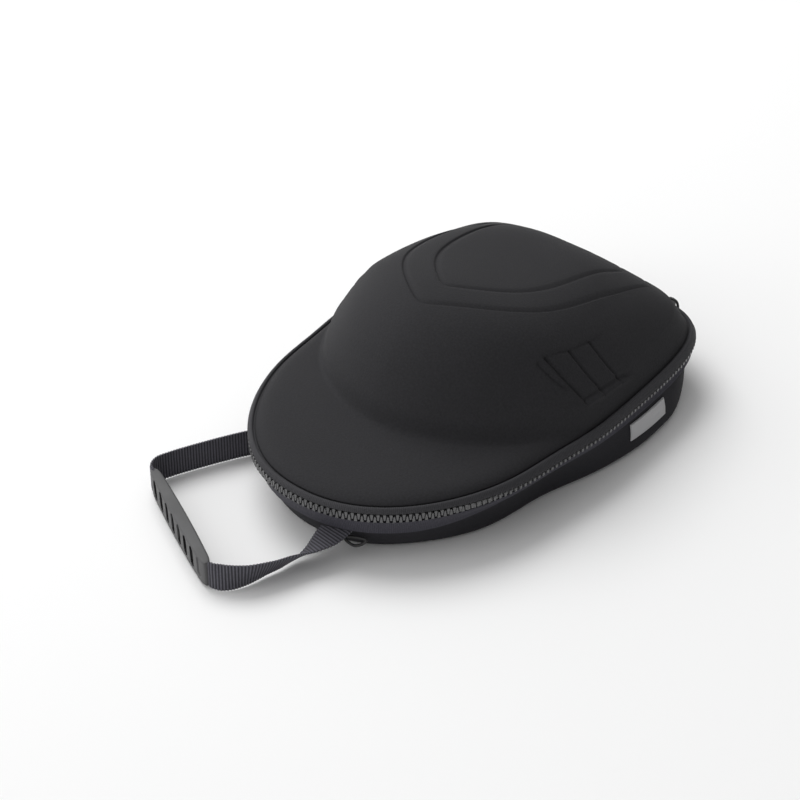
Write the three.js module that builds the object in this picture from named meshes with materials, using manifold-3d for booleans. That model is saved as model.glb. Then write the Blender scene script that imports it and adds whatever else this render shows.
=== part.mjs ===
// Cap carrier: a zipped, moulded case shaped like a cap, with a webbing handle and a rubber grip.
// Millimetres, Z up. The brim end faces -Y, the label is on the +X side, the base lies on Z = 0.
import * as THREE from 'three';
import Module from 'manifold-3d';

const wasm = await Module();
wasm.setup();
const { Manifold, Mesh: SolidMesh } = wasm;

// Sizes of the whole case
const SEAM_HEIGHT = 34.8;
const PLAN = { halfWidth: 100.5, front: 154.5, rear: 140.5, frontPower: 2.15, rearPower: 5.5 };
const REAR_TAPER = { rate: 0.00055, start: 20 };
const WAIST = { depth: 0.03, y: -34, reach: 32 };
const LOOP_POINTS = 72;
const GAP = 0.3;

// Sizes of the upper shell
const WALL = 3.4;
const UPPER_RIM = { inset: 3.8, height: SEAM_HEIGHT + 5.3, wallShare: 0.957 };
const CROWN = { height: 60.2, centreY: -1, front: 87.2, frontPower: 1.77, innerPower: 2.83, outerPower: 6 };
const CROWN_SQUARE = { from: 0.7, to: 1.15 };
const CROWN_CURVE = { inner: 5.2, side: 1.21, front: 0.96 };
const CROWN_FALL = { share: 0.096, fromY: -60 };
const CROWN_SWELL = { height: 12.6, y: -33, reachX: 63, reachY: 57 };
const BRIM = { edge: 4, edgeRate: 32, slope: 12.3, flatten: 0.35 };
const BRIM_BLEND = { reach: 34, rise: 14 };

// Shields pressed into the crown: tip, half width, and how fast each widens behind its tip
const SHIELDS = [
  { tipY: -42.3, half: 60.5, reach: 45, round: 9, endY: 134, endReach: 26 },
  { tipY: -20.5, half: 43.5, reach: 38, round: 7, endY: 126, endReach: 26 },
];
// Each shield's line falls steeply on its outer side and comes back slowly on its inner side.
const SHIELD_LINE = { depth: 1.2, outside: 0.9, lowest: 0.5, inside: 4.5 };
const MIDDLE_Y = 42;

// Gills on each flank: plan points of the middle line of each, and how wide and deep it is cut.
// A gill is deepest along its front edge and runs out to nothing at its rear edge.
const GILLS = [
  { topX: 67.3, topY: -18.5, lowX: 84.2, lowY: -7.9, width: 1.6, front: 0.8, rear: 0.8 },
  { topX: 70.6, topY: -4.4, lowX: 90.1, lowY: 8.4, width: 16, front: 1.6, rear: 0 },
  { topX: 73.2, topY: 13.9, lowX: 90.4, lowY: 24.9, width: 16, front: 1.6, rear: 0 },
  { topX: 74, topY: 32.4, lowX: 90.6, lowY: 41.7, width: 16, front: 1.6, rear: 0 },
];
const GILL_ABOVE = 4;
const GILL_BOW = 1.5;

// Sizes of the zip
const TEETH = { half: 0.15, frontReach: 2.8, sideReach: 1.3, inner: -2.5, outer: 0.6 };
const ZIP_TURN = { frontY: -125, sideY: -50 };
const HINGE = { half: 44, endGap: 1.5 };

function smooth(from, to, value) {
  const t = Math.min(1, Math.max(0, (value - from) / (to - from)));
  return t * t * (3 - 2 * t);
}

function mix(a, b, t) {
  return a + (b - a) * t;
}

// How far out a plan point lies: 1 on an outline with these half sizes.
function gauge(x, y, halfX, halfY, power) {
  return (Math.abs(x / halfX) ** power + Math.abs(y / halfY) ** power) ** (1 / power);
}

// The case has a slight waist behind the brim and narrows a little towards its back.
function rearTaper(y) {
  return y < 0 ? 0 : (REAR_TAPER.rate * y * y) / (y + REAR_TAPER.start);
}

function widthShare(y) {
  return 1 - rearTaper(y) - WAIST.depth * Math.exp(-(((y - WAIST.y) / WAIST.reach) ** 2));
}

function planGauge(x, y, inset) {
  const halfY = (y < 0 ? PLAN.front : PLAN.rear) - inset;
  const power = y < 0 ? PLAN.frontPower : PLAN.rearPower;
  return gauge(x / widthShare(y), y, PLAN.halfWidth - inset, halfY, power);
}

// The seam's outline from the brim tip round by +X, in equal steps, each with its outward normal.
function seamLoop(count) {
  const fine = 2880;
  const points = [];
  for (let i = 0; i <= fine; i++) {
    const angle = -Math.PI / 2 + (2 * Math.PI * i) / fine;
    const spot = new THREE.Vector2(Math.cos(angle), Math.sin(angle)).multiplyScalar(PLAN.halfWidth);
    for (let round = 0; round < 12; round++) {
      spot.divideScalar(planGauge(spot.x, spot.y, 0));
    }
    points.push(spot);
  }
  const lengths = [0];
  for (let i = 1; i <= fine; i++) {
    lengths.push(lengths[i - 1] + points[i].distanceTo(points[i - 1]));
  }
  const loop = [];
  let j = 1;
  for (let k = 0; k < count; k++) {
    const along = (lengths[fine] * k) / count;
    while (lengths[j] < along) {
      j++;
    }
    const t = (along - lengths[j - 1]) / (lengths[j] - lengths[j - 1]);
    const spot = points[j - 1].clone().lerp(points[j], t);
    const way = points[j].clone().sub(points[j - 1]).normalize();
    loop.push({ x: spot.x, y: spot.y, nx: way.y, ny: -way.x });
  }
  return loop;
}

const SEAM = seamLoop(LOOP_POINTS);

// Height of the brim and the crown over the upper rim
function brimHeight(x, y) {
  const u = Math.max(0, 1 - planGauge(x, y, UPPER_RIM.inset));
  return BRIM.edge * (1 - Math.exp(-u * BRIM.edgeRate)) + BRIM.slope * u * (1 - BRIM.flatten * u);
}

function crownHeight(x, y) {
  const dy = y - CROWN.centreY;
  const half = PLAN.halfWidth - UPPER_RIM.inset;
  const rear = PLAN.rear - UPPER_RIM.inset - CROWN.centreY;
  const across = x / widthShare(y);
  const plain = gauge(across, dy, half, rear, CROWN.innerPower);
  const square = smooth(CROWN_SQUARE.from, CROWN_SQUARE.to, plain);
  const rearPower = mix(CROWN.innerPower, CROWN.outerPower, square);
  const power = dy < 0 ? CROWN.frontPower : rearPower;
  const q = gauge(across, dy, half, dy < 0 ? CROWN.front : rear, power);
  const { reachX, reachY } = CROWN_SWELL;
  const swell = CROWN_SWELL.height * Math.exp(-((x / reachX) ** 2) - ((y - CROWN_SWELL.y) / reachY) ** 2);
  const top = CROWN.height * (1 - CROWN_FALL.share * smooth(CROWN_FALL.fromY, PLAN.rear, y)) + swell;
  const ahead = dy < 0 ? (-dy / CROWN.front / q) ** CROWN.frontPower : 0;
  const curve = mix(CROWN_CURVE.side, CROWN_CURVE.front, smooth(0, 1, ahead));
  return top * Math.max(0, 1 - q ** CROWN_CURVE.inner) ** curve;
}

function topHeight(x, y) {
  const a = brimHeight(x, y);
  const b = crownHeight(x, y);
  const reach = 0.01 + BRIM_BLEND.reach * Math.min(1, Math.max(a, b) / BRIM_BLEND.rise);
  const near = Math.max(0, reach - Math.abs(a - b)) / reach;
  return UPPER_RIM.height + Math.max(a, b) + (near * near * reach) / 4;
}

function topPoint(x, y, lift) {
  return new THREE.Vector3(x, y, topHeight(x, y) + lift);
}

function topNormal(x, y) {
  const e = 0.5;
  const dx = (topHeight(x + e, y) - topHeight(x - e, y)) / (2 * e);
  const dy = (topHeight(x, y + e) - topHeight(x, y - e)) / (2 * e);
  return new THREE.Vector3(-dx, -dy, 1).normalize();
}

// Collects the points and faces of one closed solid
class Faces {
  constructor() {
    this.points = [];
    this.index = [];
  }

  add(point) {
    this.points.push(point.x, point.y, point.z);
    return this.points.length / 3 - 1;
  }

  ring(points) {
    return points.map((p) => this.add(p));
  }

  span(a, b) {
    const step = (k) => this.points[3 * a + k] - this.points[3 * b + k];
    return Math.hypot(step(0), step(1), step(2));
  }

  // A four-sided face, split along its shorter diagonal.
  quad(a, b, c, d) {
    const isFirst = this.span(a, c) <= this.span(b, d);
    this.index.push(...(isFirst ? [a, b, c, a, c, d] : [a, b, d, b, c, d]));
  }

  // Joins two rings; the faces look out when the second ring is the upper or inner one.
  join(low, high) {
    for (let i = 0; i < low.length; i++) {
      const n = (i + 1) % low.length;
      this.quad(low[i], low[n], high[n], high[i]);
    }
  }

  fan(ring, tip, up) {
    for (let i = 0; i < ring.length; i++) {
      const n = (i + 1) % ring.length;
      this.index.push(...(up ? [ring[i], ring[n], tip] : [ring[n], ring[i], tip]));
    }
  }

  geometry() {
    const geometry = new THREE.BufferGeometry();
    geometry.setAttribute('position', new THREE.Float32BufferAttribute(this.points, 3));
    geometry.setIndex(this.index);
    geometry.computeVertexNormals();
    return geometry;
  }
}

function solidOf(geometry) {
  return new Manifold(new SolidMesh({
    numProp: 3,
    vertProperties: Float32Array.from(geometry.getAttribute('position').array),
    triVerts: Uint32Array.from(geometry.index.array),
  }));
}

function geometryOf(solid) {
  const mesh = solid.getMesh();
  const geometry = new THREE.BufferGeometry();
  geometry.setAttribute('position', new THREE.Float32BufferAttribute(mesh.vertProperties, 3));
  geometry.setIndex(Array.from(mesh.triVerts));
  geometry.computeVertexNormals();
  return geometry;
}

function cutAway(geometry, cutters) {
  let solid = solidOf(geometry);
  for (const cutter of cutters) {
    solid = solid.subtract(solidOf(cutter));
  }
  return geometryOf(solid);
}

// A flat bar along a line of stations, each with its middle and the direction of its width
function smoothLine(triples) {
  return new THREE.CatmullRomCurve3(triples.map((t) => new THREE.Vector3(...t)), false, 'centripetal');
}

function ribbon(stations, width, thicknessAt, segments) {
  const path = smoothLine(stations.map((s) => s.at));
  const turn = smoothLine(stations.map((s) => s.across));
  const faces = new Faces();
  const rings = [];
  for (let i = 0; i <= segments; i++) {
    const t = i / segments;
    const at = path.getPoint(t);
    const along = path.getTangent(t);
    const across = turn.getPoint(t);
    across.addScaledVector(along, -across.dot(along)).normalize();
    const face = along.clone().cross(across).normalize();
    const thickness = thicknessAt(t);
    const corners = [[-1, -1], [1, -1], [1, 1], [-1, 1]].map(([a, b]) => at.clone()
      .addScaledVector(across, (a * width) / 2).addScaledVector(face, (b * thickness) / 2));
    rings.push(faces.ring(corners));
  }
  for (let i = 1; i < rings.length; i++) {
    faces.join(rings[i - 1], rings[i]);
  }
  const first = rings[0];
  const last = rings.at(-1);
  faces.quad(first[3], first[2], first[1], first[0]);
  faces.quad(last[0], last[1], last[2], last[3]);
  return faces.geometry();
}

// Half width of a shield at a given distance along the crown
function shieldHalf(shield, y) {
  const behind = Math.max(0, y - shield.tipY);
  const spread = Math.tanh(Math.sqrt(behind * (behind + shield.round)) / shield.reach);
  const widen = shield.half * (1 - rearTaper(y)) * spread;
  const close = Math.max(0, y - (shield.endY - shield.endReach)) / shield.endReach;
  return close >= 1 ? 0 : widen * Math.sqrt(1 - close * close);
}

// Where the line from the crown's middle towards a rim point meets a shield's outline
function shieldSpot(shield, rimX, rimY, inset) {
  const way = new THREE.Vector2(rimX, rimY - MIDDLE_Y);
  let inside = 0;
  let outside = 1;
  for (let round = 0; round < 30; round++) {
    const t = (inside + outside) / 2;
    const isIn = Math.abs(way.x * t) < shieldHalf(shield, MIDDLE_Y + way.y * t);
    inside = isIn ? t : inside;
    outside = isIn ? outside : t;
  }
  return Math.max(0.02, inside - inset / way.length());
}

// Upper shell: rings from the rim in to the shields and the top
const UPPER_STEPS = [0, 0.02, 0.06, 0.13, 0.22, 0.32, 0.43, 0.54, 0.64, 0.74, 0.83, 0.92, 1];
const UPPER_INNER_STEPS = [0, 0.07, 0.15, 0.23, 0.32, 0.43, 0.58, 0.76, 0.9];

function rimSpot(p) {
  return { x: p.x - p.nx * UPPER_RIM.inset, y: p.y - p.ny * UPPER_RIM.inset };
}

function upperShell() {
  const faces = new Faces();
  const rims = SEAM.map(rimSpot);
  const ringOf = (shareOf, lift) => faces.ring(rims.map((rim) => {
    const share = shareOf(rim);
    return topPoint(rim.x * share, mix(MIDDLE_Y, rim.y, share), lift);
  }));
  const shieldShare = (k, inset) => (rim) => shieldSpot(SHIELDS[k], rim.x, rim.y, inset);
  const { depth, outside, lowest, inside } = SHIELD_LINE;
  const outer = UPPER_STEPS.map((step) => ringOf((rim) => mix(1, shieldShare(0, -outside)(rim), step), 0));
  outer.push(ringOf(shieldShare(0, lowest), -depth));
  outer.push(ringOf(shieldShare(0, inside), 0));
  outer.push(ringOf(shieldShare(1, -outside), 0));
  outer.push(ringOf(shieldShare(1, lowest), -depth));
  outer.push(ringOf(shieldShare(1, inside), 0));
  outer.push(ringOf((rim) => shieldShare(1, inside)(rim) * 0.6, 0));
  outer.push(ringOf((rim) => shieldShare(1, inside)(rim) * 0.25, 0));
  const inner = UPPER_INNER_STEPS.map((step) => faces.ring(rims.map((rim) => {
    const x = rim.x * (1 - step);
    const y = mix(rim.y, MIDDLE_Y, step);
    const z = step === 0 ? UPPER_RIM.height : topHeight(x, y) - WALL;
    return new THREE.Vector3(x * UPPER_RIM.wallShare, mix(MIDDLE_Y, y, UPPER_RIM.wallShare), z);
  })));
  for (let k = 1; k < outer.length; k++) {
    faces.join(outer[k - 1], outer[k]);
  }
  for (let k = 1; k < inner.length; k++) {
    faces.join(inner[k], inner[k - 1]);
  }
  faces.join(inner[0], outer[0]);
  faces.fan(outer.at(-1), faces.add(topPoint(0, MIDDLE_Y, 0)), true);
  faces.fan(inner.at(-1), faces.add(topPoint(0, MIDDLE_Y, -WALL)), false);
  return faces.geometry();
}

function gillCutter(gill, side) {
  const lowX = side * gill.lowX;
  const topX = side * gill.topX;
  const stations = [0, 0.33, 0.67, 1].map((t) => {
    const x = mix(topX, lowX, t);
    const y = mix(gill.topY, gill.lowY, t) - 4 * GILL_BOW * t * (1 - t);
    const normal = topNormal(x, y);
    const along = new THREE.Vector3(lowX - topX, gill.lowY - gill.topY, 0);
    along.z = -(along.x * normal.x + along.y * normal.y) / normal.z;
    const rearward = normal.clone().cross(along).normalize().multiplyScalar(side);
    const rise = (gill.front - gill.rear) / gill.width;
    const lift = GILL_ABOVE / 2 - (gill.front + gill.rear) / 2;
    return {
      at: topPoint(x, y, 0).addScaledVector(normal, lift).toArray(),
      across: rearward.addScaledVector(normal, rise).toArray(),
    };
  });
  return ribbon(stations, gill.width, () => GILL_ABOVE, 6);
}

// Lower shell: how far the wall stands out from the seam at each height, in four places
const LOWER_WALL = [
  { height: 31.4, tip: -1.8, waist: -1.8, side: -1.8, back: -1.8 },
  { height: 27, tip: -4.2, waist: -5.2, side: -0.2, back: -2.6 },
  { height: 19, tip: -7.8, waist: -9.2, side: 1.8, back: -4.5 },
  { height: 10, tip: -11.5, waist: -11.5, side: 2.6, back: -5 },
  { height: 4, tip: -15, waist: -12.5, side: 2, back: -6.5 },
  { height: 1.2, tip: -18, waist: -15, side: -0.5, back: -9.5 },
  { height: 0, tip: -21, waist: -17.5, side: -3.5, back: -13 },
];
const BASE_THICKNESS = 4;

function lowerOffset(row, y) {
  const front = mix(row.waist, row.tip, smooth(-75, -130, y));
  return mix(mix(front, row.side, smooth(-45, 60, y)), row.back, smooth(78, 128, y));
}

function lowerOffsetAt(height, y) {
  let k = 1;
  while (k < LOWER_WALL.length - 1 && height < LOWER_WALL[k].height) {
    k++;
  }
  const above = LOWER_WALL[k - 1];
  const below = LOWER_WALL[k];
  const t = (above.height - height) / (above.height - below.height);
  return mix(lowerOffset(above, y), lowerOffset(below, y), t);
}

function wallRing(row, inset, height) {
  return SEAM.map((p) => {
    const d = lowerOffset(row, p.y) - inset;
    return new THREE.Vector3(p.x + p.nx * d, p.y + p.ny * d, height);
  });
}

function lowerShell() {
  const faces = new Faces();
  const rise = 1 - BASE_THICKNESS / LOWER_WALL[0].height;
  const outer = LOWER_WALL.map((row) => faces.ring(wallRing(row, 0, row.height)));
  const inner = LOWER_WALL.map((row) => {
    return faces.ring(wallRing(row, WALL, BASE_THICKNESS + row.height * rise));
  });
  for (let k = 1; k < outer.length; k++) {
    faces.join(outer[k], outer[k - 1]);
    faces.join(inner[k - 1], inner[k]);
  }
  faces.join(outer[0], inner[0]);
  faces.fan(outer.at(-1), faces.add(new THREE.Vector3(0, 0, 0)), false);
  faces.fan(inner.at(-1), faces.add(new THREE.Vector3(0, 0, BASE_THICKNESS)), true);
  return faces.geometry();
}

// A band along the seam with a cross-section of [outward, height] points, listed counter-clockwise
function seamBand(stations, sectionOf) {
  const faces = new Faces();
  const rings = stations.map((p) => {
    const section = sectionOf(p);
    return faces.ring(section.map(([d, z]) => new THREE.Vector3(p.x + p.nx * d, p.y + p.ny * d, z)));
  });
  for (let i = 1; i < rings.length; i++) {
    faces.join(rings[i], rings[i - 1]);
  }
  const close = (ring, station, first) => {
    const outline = sectionOf(station).map(([d, z]) => new THREE.Vector2(d, z));
    for (const [a, b, c] of THREE.ShapeUtils.triangulateShape(outline, [])) {
      faces.index.push(...(first ? [ring[a], ring[b], ring[c]] : [ring[c], ring[b], ring[a]]));
    }
  };
  close(rings[0], stations[0], true);
  close(rings.at(-1), stations.at(-1), false);
  return faces.geometry();
}

function isHinge(p, half) {
  return p.y > 0.8 * PLAN.rear && Math.abs(p.x) < half;
}

const REAR = LOOP_POINTS / 2;
const ZIP_STATIONS = SEAM.slice(REAR).concat(SEAM.slice(0, REAR)).filter((p) => !isHinge(p, HINGE.half));
const ZIP_END_X = Math.abs(ZIP_STATIONS[0].x);
const HINGE_STATIONS = seamLoop(720).filter((p) => isHinge(p, ZIP_END_X - HINGE.endGap))
  .filter((p, i, all) => i % 6 === 0 || i === all.length - 1);

// Beside and behind the case the upper tape comes down over the teeth, so less of them shows there.
function sideways(p) {
  return smooth(ZIP_TURN.frontY, ZIP_TURN.sideY, p.y);
}

function teethReach(p) {
  return mix(TEETH.frontReach, TEETH.sideReach, sideways(p));
}

const UPPER_TAPE = { frontOut: 0.4, sideOut: 1.1, edge: 0.6, top: SEAM_HEIGHT + 6.3 };

function upperTapeSection(p) {
  const low = SEAM_HEIGHT + teethReach(p) + GAP;
  const out = mix(UPPER_TAPE.frontOut, UPPER_TAPE.sideOut, sideways(p));
  const under = UPPER_RIM.height - GAP;
  const inner = -UPPER_RIM.inset - WALL;
  const lip = -UPPER_RIM.inset + 0.9;
  return [
    [inner, low], [out - 0.3, low], [out, low + UPPER_TAPE.edge], [-0.5, UPPER_TAPE.top - 0.9],
    [-1.6, UPPER_TAPE.top], [-2.6, UPPER_TAPE.top - 0.3], [lip, under], [inner, under],
  ];
}

function teethSection(p, side) {
  const near = SEAM_HEIGHT + side * TEETH.half;
  const far = SEAM_HEIGHT + side * teethReach(p);
  const low = Math.min(near, far);
  const high = Math.max(near, far);
  return [[TEETH.inner, low], [TEETH.outer, low], [TEETH.outer, high], [TEETH.inner, high]];
}

const LOWER_TAPE = { thickness: 1.1, clear: 0.5, frontDrop: 12.4, sideDrop: 4.5 };

function lowerTapeSection(p) {
  const top = SEAM_HEIGHT - teethReach(p) - GAP;
  const drop = mix(LOWER_TAPE.frontDrop, LOWER_TAPE.sideDrop, sideways(p));
  const heights = [top, top - Math.min(0.35 * drop, 4.4), top - drop];
  const inside = heights.map((z) => {
    const wall = lowerOffsetAt(Math.min(z, LOWER_WALL[0].height), p.y);
    return [wall + LOWER_TAPE.clear, z];
  });
  const outside = inside.map(([d, z]) => [d + LOWER_TAPE.thickness, z]);
  return inside.concat(outside.reverse());
}

// The cloth hinge at the back, over both rims
const HINGE_SECTION = [
  { out: -1.2, rise: -7.3 },
  { out: 0.3, rise: -7.3 },
  { out: 0.9, rise: -3.8 },
  { out: 0.9, rise: 3.2 },
  { out: -1.7, rise: 6.7 },
  { out: -2.7, rise: 10 },
  { out: -4.1, rise: 9.8 },
  { out: -3.1, rise: 6.2 },
  { out: -0.6, rise: 3.2 },
  { out: -0.6, rise: -3.8 },
];

// Zip slider and its wire pull, parked at the end of the zip on the back
const SLIDER = { x: 52, width: 8, height: 8.4, depth: 3.2 };
const PULL = { wire: 0.9, width: 7.5, low: -11, high: 2 };

function sliderFrame() {
  const spots = seamLoop(720).filter((p) => p.y > 0.8 * PLAN.rear);
  return spots.reduce((best, p) => (Math.abs(p.x - SLIDER.x) < Math.abs(best.x - SLIDER.x) ? p : best));
}

function zipSlider() {
  const p = sliderFrame();
  const out = UPPER_TAPE.sideOut + GAP + SLIDER.depth / 2;
  const stations = [-1, 0, 1].map((side) => {
    const x = p.x + p.nx * out - (side * p.ny * SLIDER.width) / 2;
    const y = p.y + p.ny * out + (side * p.nx * SLIDER.width) / 2;
    return { at: [x, y, SEAM_HEIGHT], across: [0, 0, 1] };
  });
  return ribbon(stations, SLIDER.height, () => SLIDER.depth, 2);
}

function wireLoop(points, wire) {
  const path = new THREE.CatmullRomCurve3(points, true, 'centripetal');
  const faces = new Faces();
  const around = 7;
  const segments = 28;
  const frames = path.computeFrenetFrames(segments, true);
  const rings = [];
  for (let i = 0; i < segments; i++) {
    const at = path.getPointAt(i / segments);
    const ring = [];
    for (let k = 0; k < around; k++) {
      const angle = (2 * Math.PI * k) / around;
      ring.push(at.clone().addScaledVector(frames.normals[i], wire * Math.cos(angle))
        .addScaledVector(frames.binormals[i], wire * Math.sin(angle)));
    }
    rings.push(faces.ring(ring));
  }
  for (let i = 0; i < segments; i++) {
    faces.join(rings[i], rings[(i + 1) % segments]);
  }
  return faces.geometry();
}

function zipPull() {
  const p = sliderFrame();
  const out = UPPER_TAPE.sideOut + 2 * GAP + SLIDER.depth + PULL.wire;
  const corners = [[-1, PULL.low], [-1, PULL.high], [1, PULL.high], [1, PULL.low]];
  return wireLoop(corners.map(([side, rise]) => new THREE.Vector3(
    p.x + p.nx * out - (side * p.ny * PULL.width) / 2,
    p.y + p.ny * out + (side * p.nx * PULL.width) / 2,
    SEAM_HEIGHT + rise,
  )), PULL.wire);
}

// Handle: webbing on its edge on the floor, with a rubber grip between the two straps
const STRAP = { width: 18.5, thickness: 1.8, segments: 20 };
const UPRIGHT = [0, 0, 1];
const LEFT_STRAP = [
  { at: [-63, -86, 10], across: UPRIGHT },
  { at: [-70, -98, 10], across: UPRIGHT },
  { at: [-77, -110, 10], across: UPRIGHT },
  { at: [-83.5, -122, 10], across: UPRIGHT },
  { at: [-94, -144, 10], across: UPRIGHT },
  { at: [-99, -156, 10], across: UPRIGHT },
  { at: [-101.5, -164.5, 10], across: UPRIGHT },
  { at: [-99.5, -170.8, 10], across: UPRIGHT },
  { at: [-95.4, -173.6, 10], across: UPRIGHT },
];
const RIGHT_STRAP = [
  { at: [-10.5, -213.8, 10], across: UPRIGHT },
  { at: [-2.4, -210, 10], across: UPRIGHT },
  { at: [5.5, -200.5, 10], across: [0.21, -0.17, 0.96] },
  { at: [10.5, -187.5, 9.6], across: [0.38, -0.38, 0.84] },
  { at: [13.5, -178, 9.4], across: [0.43, -0.46, 0.77] },
  { at: [16, -168, 9.2], across: [0.52, -0.62, 0.6] },
  { at: [19.5, -158.2, 12.5], across: [0.8, -0.53, 0.29] },
  { at: [21.2, -150.3, 15], across: [0.96, -0.27, 0.05] },
  { at: [22.5, -137, 18.4], across: [0.98, -0.1, 0] },
];
const GRIP = { height: 18, thickness: 8, endThickness: 5.2, segments: 12 };
const LEANING = [-0.016, -0.031, 0.999];
const GRIP_LINE = [
  { at: [-93.6, -173.6, 10], across: LEANING },
  { at: [-73.3, -183.8, 10], across: LEANING },
  { at: [-53, -194, 10], across: LEANING },
  { at: [-32.6, -204.3, 10], across: LEANING },
  { at: [-12.3, -214.5, 10], across: LEANING },
];
const GRIP_SLOTS = {
  count: 8, from: 0.115, to: 0.925, width: 5.2, height: 12.5, rise: 1.9, depth: 3.2, lastDepth: 0.8,
};

function gripThickness(t) {
  return mix(GRIP.endThickness, GRIP.thickness, Math.max(0, Math.sin(Math.PI * t)) ** 0.6);
}

function gripSlots() {
  const line = smoothLine(GRIP_LINE.map((s) => s.at));
  const cutters = [];
  for (let k = 0; k < GRIP_SLOTS.count; k++) {
    const t = mix(GRIP_SLOTS.from, GRIP_SLOTS.to, k / (GRIP_SLOTS.count - 1));
    const at = line.getPoint(t).addScaledVector(new THREE.Vector3(...LEANING), GRIP_SLOTS.rise);
    const along = line.getTangent(t);
    const outward = along.clone().cross(new THREE.Vector3(...LEANING)).normalize();
    const depth = k === GRIP_SLOTS.count - 1 ? GRIP_SLOTS.lastDepth : GRIP_SLOTS.depth;
    const inner = at.clone().addScaledVector(outward, gripThickness(t) / 2 - depth);
    const outer = at.clone().addScaledVector(outward, gripThickness(t) / 2 + 2);
    const stations = [inner, outer].map((spot) => ({ at: spot.toArray(), across: along.toArray() }));
    cutters.push(ribbon(stations, GRIP_SLOTS.width, () => GRIP_SLOTS.height, 1));
  }
  return cutters;
}

function gripBar() {
  return ribbon(GRIP_LINE, GRIP.height, gripThickness, GRIP.segments);
}

// The straps end against the lower wall, so they are trimmed by its filled outside, a gap larger.
function lowerBlock() {
  const faces = new Faces();
  const rings = LOWER_WALL.map((row) => faces.ring(wallRing(row, -GAP, row.height)));
  for (let k = 1; k < rings.length; k++) {
    faces.join(rings[k], rings[k - 1]);
  }
  faces.fan(rings.at(-1), faces.add(new THREE.Vector3(0, 0, 0)), false);
  faces.fan(rings[0], faces.add(new THREE.Vector3(0, 0, LOWER_WALL[0].height)), true);
  return faces.geometry();
}

function strap(stations) {
  const webbing = ribbon(stations, STRAP.width, () => STRAP.thickness, STRAP.segments);
  return cutAway(webbing, [lowerBlock()]);
}

// Small ring beside the right strap, hung under the edge of the lower tape
const RING = { x: 36.5, width: 11, drop: 4, wire: 0.9, top: 15.2, outTop: -7, outLow: -4.6 };

function hangRing() {
  const near = seamLoop(720).filter((p) => p.y < 0)
    .reduce((best, p) => (Math.abs(p.x - RING.x) < Math.abs(best.x - RING.x) ? p : best));
  const corners = [[-0.5, 0], [0.5, 0], [0.42, 0.6], [0, 1], [-0.42, 0.6]];
  return wireLoop(corners.map(([side, low]) => {
    const out = mix(RING.outTop, RING.outLow, low);
    return new THREE.Vector3(
      near.x + near.nx * out - near.ny * side * RING.width,
      near.y + near.ny * out + near.nx * side * RING.width,
      RING.top - low * RING.drop,
    );
  }), RING.wire);
}

// Bare label on the side wall
const LABEL = { fromY: 35, toY: 71, low: 13.3, high: 24.9, thickness: 1, clear: 0.4 };

function labelSection(p) {
  const heights = [LABEL.low, 19, LABEL.high];
  const inside = heights.map((z) => [lowerOffsetAt(z, p.y) + LABEL.clear, z]);
  const outside = inside.map(([d, z]) => [d + LABEL.thickness, z]);
  return outside.concat(inside.reverse());
}

const LABEL_STATIONS = seamLoop(240).filter((p) => p.x > 0 && p.y > LABEL.fromY && p.y < LABEL.toY);

const part = new THREE.Group();
part.name = 'cap_carrier';

function addPiece(name, geometry, colour, roughness, metalness = 0) {
  const material = new THREE.MeshStandardMaterial({ color: colour, roughness, metalness });
  const mesh = new THREE.Mesh(geometry, material);
  mesh.name = name;
  part.add(mesh);
}

const FABRIC = 0x2a2a2d;
const TAPE = 0x35353a;
const TOOTH = 0x8a8a90;
const WEBBING = 0x3a3a3e;
const RUBBER = 0x808488;
const BLACK_METAL = 0x18181a;
const LABEL_GREY = 0xa0a2a5;

const gillCutters = [1, -1].flatMap((side) => GILLS.map((gill) => gillCutter(gill, side)));
const hingeSection = () => HINGE_SECTION.map((row) => [row.out, SEAM_HEIGHT + row.rise]);

addPiece('upper_shell', cutAway(upperShell(), gillCutters), FABRIC, 0.85);
addPiece('lower_shell', lowerShell(), FABRIC, 0.85);
addPiece('upper_zip_tape', seamBand(ZIP_STATIONS, upperTapeSection), TAPE, 0.8);
addPiece('upper_zip_teeth', seamBand(ZIP_STATIONS, (p) => teethSection(p, 1)), TOOTH, 0.5);
addPiece('lower_zip_teeth', seamBand(ZIP_STATIONS, (p) => teethSection(p, -1)), TOOTH, 0.5);
addPiece('lower_zip_tape', seamBand(ZIP_STATIONS, lowerTapeSection), TAPE, 0.8);
addPiece('back_hinge_strip', seamBand(HINGE_STATIONS, hingeSection), FABRIC, 0.85);
addPiece('zip_slider', zipSlider(), BLACK_METAL, 0.4, 0.8);
addPiece('zip_pull', zipPull(), BLACK_METAL, 0.4, 0.8);
addPiece('handle_strap_left', strap(LEFT_STRAP), WEBBING, 0.85);
addPiece('handle_strap_right', strap(RIGHT_STRAP), WEBBING, 0.85);
addPiece('handle_grip', cutAway(gripBar(), gripSlots()), RUBBER, 0.6);
addPiece('hang_ring', hangRing(), BLACK_METAL, 0.4, 0.8);
addPiece('side_label', seamBand(LABEL_STATIONS, labelSection), LABEL_GREY, 0.5);

export default part;
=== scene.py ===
"""Looks of a moulded cap carrier case: covers, zip, webbing handle, grip, floor, lights and camera."""
import math

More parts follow.
